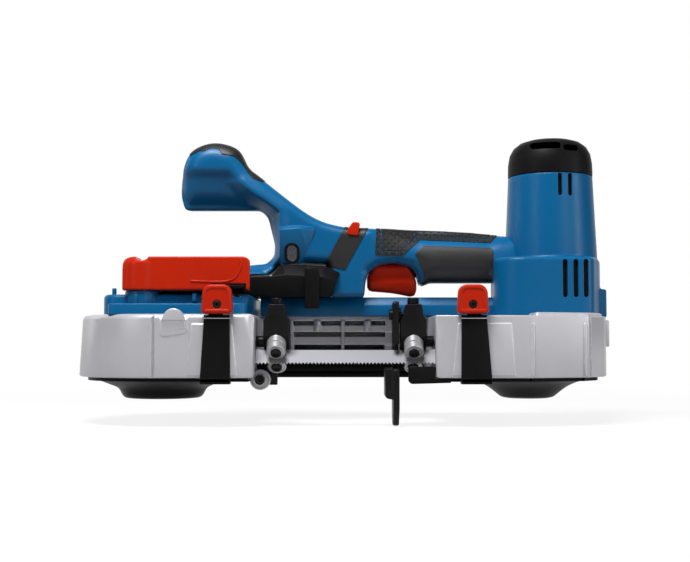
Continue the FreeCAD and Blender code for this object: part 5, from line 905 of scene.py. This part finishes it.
def housing_left():
    shape = prism(left_plan(), "Z", CAST_LOW, LEFT_HIGH)
    for v in shape.verts:
        if v.co.z > 0:
            v.co.x = -THROAT * MM + (v.co.x + THROAT * MM) * DRAFT
    soften(shape, rim(shape, "Z", LEFT_HIGH), 3.8, 4)
    soften(shape, rim(shape, "Z", CAST_LOW), 1.2, 2)
    cut_through(shape, (-69, -62, LEFT_HIGH), CHAMFER, True)
    body = carve(as_object(shape), prism(LEFT_GROOVE, "Z", -20, 30))
    arch = [(EAR_X + EAR_RADIUS * math.cos(a), EAR_Z + EAR_TALL * EAR_RADIUS * math.sin(a))
            for a in np.linspace(0, math.pi, 19)]
    ear = slab(arch, "Y", EAR_FRONT, EAR_BACK, BED_SOFT, LOW_END)
    gusset = prism(GUSSET, "X", EAR_X - EAR_RADIUS, EAR_X + EAR_RADIUS)
    cut_through(gusset, (EAR_X + EAR_RADIUS, -62, 17.5), (0.2, 0, -1), True)
    bed = slab(LEFT_BED, "Y", BED_FRONT, BED_BACK, BED_SOFT, LOW_END)
    pad = slab(PAD_SIDE, "Y", BED_FRONT, EAR_BACK, BED_SOFT, LOW_END)
    return body, [ear, gusset, bed, pad]


def housing_right():
    shape = slab(RIGHT_PLAN, "Z", CAST_LOW, CAST_HIGH, (3.4, 4), HIGH_END, 3)
    soften(shape, rim(shape, "Z", CAST_LOW), 1.2, 2)
    cut_through(shape, (69, -62, CAST_HIGH), CHAMFER * Vector((-1, 1, 1)), True)
    body = carve(as_object(shape), prism(RIGHT_GROOVE, "Z", -20, 30))
    ribs = [rod(1.3, (124.8, -61.2, -14.2), (124.8, -60.6, 21.2), 20, 0.6),
            rod(1.2, (162, -49.2, -14.2), (162, -48.8, 21.4), 20, 0.6)]
    bed = slab(RIGHT_BED, "Y", BED_FRONT, BED_BACK, BED_SOFT, LOW_END)
    crown = slab(CROWN_PLAN, "Z", 20, CROWN_HIGH, (3.6, 5), HIGH_END)
    return body, ribs + [bed, crown, block(*RIGHT_TAB)]


def throat_wall():
    slots = [block(x0, x1, wall_y(high) - 14, wall_y(low) + 22, low, high)
             for low, high in SLOT_ROWS for x0, x1 in SLOT_SPANS]
    body = carve(as_object(prism(SPINE, "X", -THROAT - 4, THROAT + 4)), gathered(*slots))
    bosses = [rod(2.9, (x, 13.2, 16.2), (x, 13.2, 24.6), 28, 0.6) for x in WALL_BOSS_XS]
    return body, bosses + [prism(WALL_RIB, "X", x - WALL_RIB_HALF, x + WALL_RIB_HALF) for x in WALL_RIB_XS]


def build_frame():
    left, left_more = housing_left()
    right, right_more = housing_right()
    wall, wall_more = throat_wall()
    for thing, side, wheels in ((left, -1, (-WHEEL_X, -WHEEL_X + WHEEL_SLIDE)), (right, 1, (WHEEL_X,))):
        rooms = [rod(WHEEL_ROOM, (x, 0, CAST_LOW - 5), (x, 0, ROOM_TOP), 96) for x in wheels]
        rooms.append(block(*sorted((side * (THROAT - 5), side * (THROAT + 40))), *RUN_ROOM))
        carve(thing, gathered(*rooms))
        kept = [(side * 200, CAST_LOW), (side * THROAT, CAST_LOW, THROAT_ROUND), (side * THROAT, 40), (side * 200, 40)]
        carve(thing, slab(kept, "Y", -75, 75, steps=6), "INTERSECT")
    for thing in (left, right, wall):
        carve(thing, block(*BACK_ROOM))
    casting = gathered(loosened(left), loosened(right), loosened(wall), *left_more, *right_more, *wall_more)
    put("casting", casting, "cast_aluminium", "main_frame", sharp=35)


# Base rail between the deck and the tower
RAIL = [(2, WALL_TOP), (2, 35), (5.6, 41), (10.6, 41), (10.6, 28), (47, 28), (47, 34), (52, 34), (52, 24.5), (40, 24.5),
        (40, WALL_TOP)]
RAIL_END = 112


def build_rail():
    rail = prism(RAIL, "X", DECK_RIGHT, RAIL_END)
    soften(rail, [edge for edge in rail.edges if abs(edge.verts[0].co.x - edge.verts[1].co.x) > 0.05], 0.5, 2)
    put("rail", rail, "blue_plastic", "base_rail")


# Lower cover with domes, straps and nose
COVER_LOW, COVER_IN, DOME_WALL = -17.8, 6, 2.2
LEFT_DOME = [(48, -17.4), (44, -18.6), (38, -20.9), (32.4, -23.2), (30.2, -25.6), (28.6, -28.6), (26.4, -30.5),
             (22.5, -31)]
RIGHT_DOME = [(46, -17.4), (40, -18.2), (34, -20), (28, -22.9), (22.5, -27), (18.6, -30), (14.5, -31)]
LEFT_MOUTH, RIGHT_MOUTH = 45, 43
STRAP_FRONT, STRAP_BACK, STRAP_TOP, STRAP_LONG = -65, -62.5, 26.4, 25
STRAPS = [[(-95.6, COVER_LOW), (-75.6, COVER_LOW), (-76.2, STRAP_TOP), (-93, STRAP_TOP)],
          [(76.6, COVER_LOW), (97, COVER_LOW), (93.4, STRAP_TOP), (77, STRAP_TOP)]]
LUG_HALF = 4.8
COVER_RAIL = [(41.6, -14), (60.8, -14), (60.8, COVER_LOW), (41.6, COVER_LOW)]
COVER_SHELF = [(42.6, -7.6), (60.8, -7.6), (60.8, -13.4), (42.6, -13.4)]
NOSE = [(42, -19.2, 3), (70, -18.4), (70, -15.4), (THROAT, -15.4), (THROAT, -7.6), (42, -7.6, 1)]


def dome(x, profile):
    line = [tuple(spot) for spot in smooth_line(profile, 4)]
    floor = line[-1][1]
    inner = [(max(r - DOME_WALL, 0), z + DOME_WALL) for r, z in line]
    return lathe(line + [(0, floor), (0, floor + DOME_WALL)] + inner[::-1] + [line[0]], (x, 0, 0), UP, 96)


def cover_plate(outline, x, mouth):
    """The flat of the cover under one housing, open where the dome is."""
    plate = as_object(prism(inset(outline, COVER_IN), "Z", COVER_LOW, CAST_LOW))
    return carve(plate, rod(mouth, (x, 0, -30), (x, 0, 0), 72))


def cover_strap(side):
    """A strap in front of a housing, its top edge cut back for the latch to swing over."""
    strap = prism(side, "Y", STRAP_FRONT, STRAP_BACK)
    soften(strap, [edge for edge in rim(strap, "Y", STRAP_FRONT) if edge in rim(strap, "Z", STRAP_TOP)], 1.2, 3)
    return soften(strap, [edge for edge in strap.edges if edge.calc_length() > STRAP_LONG * MM], 0.4, 2)


def build_cover():
    left = cover_plate(left_plan(), -WHEEL_X, LEFT_MOUTH)
    right = cover_plate(rounded(RIGHT_PLAN, 3), WHEEL_X, RIGHT_MOUTH)
    straps = []
    for side in STRAPS:
        foot = block(side[0][0], side[1][0], STRAP_FRONT, -57, COVER_LOW - 1.4, CAST_LOW, 0.6)
        straps += [cover_strap(side), foot]
    lugs = [latch_rod(side, 2.5, LUG_HALF, 28) for side in (-1, 1)]
    lugs += [block(x - LUG_HALF, x + LUG_HALF, PIN_Y, -62.6, 21, PIN_Z) for x in (-PIN_X, PIN_X)]
    rail = prism(COVER_RAIL, "X", -THROAT - 3, THROAT + 3)
    shelf = prism(COVER_SHELF, "X", -THROAT + 0.6, THROAT - 0.6)
    web = block(-THROAT + 0.6, THROAT - 0.6, 44, 46, -14.5, -13)
    whole = gathered(loosened(left), loosened(right), dome(-WHEEL_X, LEFT_DOME), dome(WHEEL_X, RIGHT_DOME),
                     soften(rail, rail.edges[:], 0.5, 2), soften(shelf, shelf.edges[:], 0.4, 2), web,
                     slab(NOSE, "Y", -60.5, -56.3, (0.6, 2), LOW_END), *straps, *lugs)
    put("cover", whole, "black_plastic", "blade_cover", sharp=40)
    beads = [block(side[3][0] - 0.4, side[2][0] + 0.4, STRAP_FRONT - 0.2, STRAP_BACK, 24, 24.8, 0.25)
             for side in STRAPS]
    put("strap_edges", gathered(*beads), "bright_steel")


# Blade with its teeth
RUN = 50.15
BAND_TILT, BAND_DROP, BAND_HALF, BAND_THICK = 45, 1.5, 6.5, 0.5
TWIST_HELD, TWIST_LEAD = 51, 120
TOOTH_PITCH, TOOTH_DEEP, GULLET = 2.4, 1.7, 2


def band_line():
    """Spots along the blade's loop, with the way across the blade at each."""
    line = []
    step = TOOTH_PITCH / 2
    for x in np.arange(-WHEEL_X, WHEEL_X, step):
        share = min(max((TWIST_LEAD - abs(x)) / (TWIST_LEAD - TWIST_HELD), 0), 1)
        tilt = math.radians(BAND_TILT * share)
        line.append((Vector((x, -RUN, -BAND_DROP * share)), Vector((0, -math.sin(tilt), -math.cos(tilt)))))
    turns = int(math.pi * RUN / step)
    for side in (1, -1):
        for index in range(turns):
            angle = math.pi * index / turns - side * math.pi / 2
            line.append((Vector((side * WHEEL_X + RUN * math.cos(angle), RUN * math.sin(angle), 0)), -UP))
        if side > 0:
            line += [(Vector((x, RUN, 0)), -UP) for x in np.arange(WHEEL_X, -WHEEL_X, -step)]
    return line


def build_band():
    shape = bmesh.new()
    last = None
    for index, (spot, across) in enumerate(band_line()):
        tooth = BAND_HALF - (TOOTH_DEEP if index % 2 else 0)
        spots = [spot - across * BAND_HALF, spot + across * (BAND_HALF - GULLET), spot + across * tooth]
        if last is None:
            last = [shape.verts.new(place * MM) for place in spots]
            edges = [shape.edges.new(pair) for pair in zip(last, last[1:])]
            continue
        grown = bmesh.ops.extrude_edge_only(shape, edges=edges)["geom"]
        new = {item for item in grown if isinstance(item, bmesh.types.BMVert)}
        edges = [item for item in grown if isinstance(item, bmesh.types.BMEdge) and new.issuperset(item.verts)]
        row = [next(edge.other_vert(v) for edge in v.link_edges if edge.other_vert(v) in new) for v in last]
        for v, place in zip(row, spots):
            v.co = place * MM
        last = row
    bmesh.ops.remove_doubles(shape, verts=shape.verts, dist=0.3 * MM)
    bmesh.ops.recalc_face_normals(shape, faces=shape.faces)
    band = worked(as_object(shape), "SOLIDIFY", thickness=BAND_THICK * MM, offset=0)
    put("band", band, "band_steel", "saw_band", sharp=30)


# Blade guides, roller and work stop
GUIDE_X = 46
TEETH_WAY = Vector((0, -1, -1)).normalized()
SQUARE_WAY = Vector((0, -1, 1)).normalized()
BEARING_REACH, THRUST_REACH = 6.8, 10.55
BEARING_RADIUS, BEARING_HALF, BEARING_BORE, BEARING_SOFT = 6.5, 2.5, 2.1, 0.5
BRACKET_HALF = 8.7
BRACKET_DEPTH = [(-54, 34), (-41, 34), (-36, 25), (-33.5, 2), (-35.5, -6), (-54, 12.5)]
BRACKET_FACE = [(-8.7, -8), (8.7, -8), (8.7, 23.4, 1.2), (6.6, 26.4, 1.5), (5.6, 34, 1.2), (-5.6, 34, 1.2),
                (-6.6, 26.4, 1.5), (-8.7, 23.4, 1.2)]
ROLLER_ARM = (-59.8, -46, -38, -35, -20.5, 2, 0.6)
SLEEVE = [(2, 2.7), (6, 2.7), (6.5, 3.2), (6.5, 9), (6, 9.5), (2, 9.5), (2, 2.7)]
KNURL = [(0, 0), (3.4, 0), (3.9, 0.5), (3.9, 3.8), (3.4, 4.4), (1.9, 4.4), (1.9, 1.8), (0, 1.8)]
ROLLER_X, ROLLER_Y, ROLLER_Z = -57, -49, -16.5
ROLLER_RADIUS, ROLLER_WIDTH = 7, 7
STOP_LEFT, STOP_RIGHT = 32.1, 36.3
STOP_Y, STOP_Z = -45, 27
STOP_SIDE = [(-53, 36, 2), (-37, 36, 2), (-33, 20, 2), (-30, 0, 4), (-30, -38, 4), (-36, -47.5, 4), (-48, -47.5, 4),
             (-58, -36, 5), (-58, -9, 2), (-43, -9, 1), (-43, 6.5, 2), (-53, 6.5, 2)]
STOP_LAYER = [(26.7, -28.6, 2.5), (32.4, -29.8), (32.4, -9), (26.7, -9, 1)]


def hex_screw(centre, axis, radius, height):
    """A round head with a six-sided socket."""
    head = lathe([(radius, 0), (radius, height - 0.4), (radius - 0.4, height), (0.62 * radius, height),
                  (0.62 * radius, 0.3 * height)], centre, axis, 32)
    socket = lathe([(0.64 * radius, height - 0.05), (0.55 * radius, 0.4 * height), (0, 0.35 * height)], centre, axis, 6)
    return gathered(head, socket)


def turned_bearing(centre, axis, radius, half):
    """A ball bearing: two rings with rounded edges and a shield set back between them."""
    end = [(BEARING_BORE, 0), (radius * 0.58, 0), (radius * 0.6, 0.5), (radius * 0.8, 0.5), (radius * 0.82, 0),
           (radius - BEARING_SOFT, 0), (radius, BEARING_SOFT)]
    low, high = [(r, z - half) for r, z in end], [(r, half - z) for r, z in end[::-1]]
    return lathe(low + high + low[:1], centre, axis, 48)


def build_guide(side, name):
    x = side * GUIDE_X
    middle = Vector((x, -RUN, -BAND_DROP))
    body = as_object(prism(BRACKET_DEPTH, "X", x - BRACKET_HALF, x + BRACKET_HALF))
    carve(body, slab([(x + u, *rest) for u, *rest in BRACKET_FACE], "Y", -60, -30, steps=4), "INTERSECT")
    worked(body, "BEVEL", width=0.5 * MM, segments=2, limit_method="ANGLE")
    more = [rod(3.8, (side * 59.9, -44, 9), (x + side * 8, -44, 9), 28, 0.5)]
    if side < 0:
        more.append(block(*ROLLER_ARM))
    else:
        more.append(rod(5, (x - 9.7, STOP_Y, STOP_Z), (x - 8, STOP_Y, STOP_Z), 32, 0.3))
    put("bracket_" + name, gathered(loosened(body), *more), "black_steel", "guide_bracket_" + name)
    front = middle + SQUARE_WAY * BEARING_REACH
    back = middle - SQUARE_WAY * BEARING_REACH
    for where, centre in (("front", front), ("back", back)):
        place = "%s_%s" % (where, name)
        put("roll_" + place, turned_bearing(centre, TEETH_WAY, BEARING_RADIUS, BEARING_HALF), "bearing_steel",
            "guide_bearing_" + place, body="bearing_" + place)
    put("guide_sleeve_" + name, lathe(SLEEVE, front, -TEETH_WAY, 48), "bearing_steel")
    heads = [hex_screw(centre + TEETH_WAY * (BEARING_HALF + 0.05), TEETH_WAY, 3.6, 1.6) for centre in (front, back)]
    heads += [rod(2, centre - TEETH_WAY * 10, centre + TEETH_WAY * 2.6, 20) for centre in (front, back)]
    thrust = middle - TEETH_WAY * THRUST_REACH
    heads.append(rod(2, thrust - SQUARE_WAY * 5, thrust + SQUARE_WAY * 5, 20))
    return heads + [lathe(KNURL, (x, -47, 34), UP, 40)]


def build_guides():
    heads = build_guide(-1, "left") + build_guide(1, "right")
    heads.append(hex_screw((ROLLER_X, ROLLER_Y - ROLLER_WIDTH / 2 + 0.1, ROLLER_Z), TO_FRONT, 3.4, 1.6))
    heads.append(rod(2, (ROLLER_X, -52, ROLLER_Z), (ROLLER_X, -36, ROLLER_Z), 20))
    heads.append(hex_screw((STOP_LEFT, STOP_Y, STOP_Z), (-1, 0, 0), 3.8, 2.4))
    heads.append(rod(2, (STOP_LEFT, STOP_Y, STOP_Z), (STOP_RIGHT + 8, STOP_Y, STOP_Z), 20))
    put("guide_screws", gathered(*heads), "dark_screws", "guide_pins")
    roll = turned_bearing((ROLLER_X, -45.5, ROLLER_Z), TO_FRONT, ROLLER_RADIUS, ROLLER_WIDTH / 2)
    put("roller_lower", roll, "bearing_steel", "lower_roller", body="roller")


def build_stop():
    plate = slab(STOP_SIDE, "X", STOP_LEFT, STOP_RIGHT, (1.1, 3), steps=4)
    layer = slab(STOP_LAYER, "Y", -58, -32, (0.7, 2), steps=4)
    put("stop_plate", gathered(plate, layer), "black_steel", "work_stop")


# Stage, light and camera
def stage_floor():
    grid = bmesh.new()
    bmesh.ops.create_grid(grid, x_segments=1, y_segments=1, size=FLOOR_SIZE)
    bmesh.ops.translate(grid, verts=grid.verts, vec=(0, 0, CAD_BOX[0].z - 0.5 * MM))
    floor = as_object(grid, "studio_floor")
    made = bpy.data.materials.new("pale_floor")
    made.use_nodes = True
    tree = made.node_tree
    shader = tree.nodes["Principled BSDF"]
    seen = seen_rays(tree)
    cloud = add(tree, "TexNoise", Scale=3, Detail=2).outputs[0]
    tone = add(tree, "MapRange", Value=cloud, To_Min=0.97, To_Max=1).outputs[0]
    level = add(tree, "MapRange", Value=seen, To_Min=FLOOR_BOUNCE, To_Max=FLOOR_WHITE).outputs[0]
    white = add(tree, "Math", tone, level, operation="MULTIPLY").outputs[0]
    tree.links.new(white, shader.inputs["Base Color"])
    shader.inputs["Roughness"].default_value = 0.9
    shader.inputs["Specular IOR Level"].default_value = 0.1
    glow = add(tree, "Emission", Color=(1, 1, 1, 1), Strength=1).outputs[0]
    away = add(tree, "VectorMath", add(tree, "TexCoord").outputs["Object"], operation="LENGTH").outputs["Value"]
    fade = add(tree, "MapRange", interpolation_type="SMOOTHSTEP", Value=away, From_Min=0.15, From_Max=0.75,
               To_Min=FLOOR_GLOW, To_Max=1).outputs[0]
    share = add(tree, "Math", seen, fade, operation="MULTIPLY").outputs[0]
    mixed = add(tree, "MixShader", share, shader.outputs[0], glow).outputs[0]
    tree.links.new(mixed, tree.nodes["Material Output"].inputs["Surface"])
    floor.data.materials.append(made)


def seen_rays(tree):
    """1 for rays from the camera, from gloss and through glass, and 0 for soft light."""
    path = add(tree, "LightPath").outputs
    first = add(tree, "Math", path["Is Camera Ray"], path["Is Glossy Ray"], operation="MAXIMUM").outputs[0]
    return add(tree, "Math", first, path["Is Transmission Ray"], operation="MAXIMUM").outputs[0]


def studio_sky():
    """White to the camera and through glass, dark in front and white behind in gloss, and dim as soft light."""
    world = bpy.data.worlds.new("studio_sky")
    bpy.context.scene.world = world
    world.use_nodes = True
    tree = world.node_tree
    back = tree.nodes["Background"].inputs
    back["Color"].default_value = (1, 1, 1, 1)
    path = add(tree, "LightPath").outputs
    way = add(tree, "SeparateXYZ", add(tree, "TexCoord").outputs["Generated"]).outputs["Y"]
    room = add(tree, "MapRange", interpolation_type="SMOOTHSTEP", Value=way, From_Min=0.3, From_Max=0.98,
               To_Min=ROOM_DARK, To_Max=1).outputs[0]
    mirrored = add(tree, "Mix", path["Is Glossy Ray"], at={2: SKY_FILL, 3: room}, data_type="FLOAT").outputs[0]
    clear = add(tree, "Math", path["Is Camera Ray"], path["Is Transmission Ray"], operation="MAXIMUM").outputs[0]
    level = add(tree, "Mix", clear, at={2: mirrored, 3: 1}, data_type="FLOAT").outputs[0]
    tree.links.new(level, back["Strength"])


def studio_lamps():
    for name, (place, aim, size, power) in LAMPS.items():
        lamp = bpy.data.lights.new(name, "AREA")
        lamp.shape = "RECTANGLE"
        lamp.size, lamp.size_y = size
        lamp.energy = power
        thing = bpy.data.objects.new(name, lamp)
        thing.location = place
        thing.rotation_mode = "QUATERNION"
        thing.rotation_quaternion = (Vector(aim) - Vector(place)).to_track_quat("-Z", "Y")
        bpy.context.scene.collection.objects.link(thing)


def camera_eye():
    data = bpy.data.cameras.new("eye")
    data.sensor_fit = "HORIZONTAL"
    data.sensor_width = SENSOR
    data.lens = FOCAL_PIXELS / IMAGE_WIDE * SENSOR
    data.clip_start = 0.01
    data.clip_end = 100
    eye = bpy.data.objects.new("eye", data)
    eye.location = EYE
    pitch = math.atan((HORIZON_ROW - IMAGE_HIGH / 2) / FOCAL_PIXELS)
    eye.rotation_euler = (math.pi / 2 + pitch, 0, 0)
    bpy.context.scene.collection.objects.link(eye)
    bpy.context.scene.camera = eye


bpy.context.scene.view_settings.view_transform = "Standard"
for build in (camera_eye, studio_sky, studio_lamps, stage_floor, dress_nodes, build_frame, build_rail, build_cover,
              build_band, build_guides, build_stop, build_handle, build_trigger, build_work_light, build_dock,
              build_lever, build_deck, build_latches, build_tower):
    build()
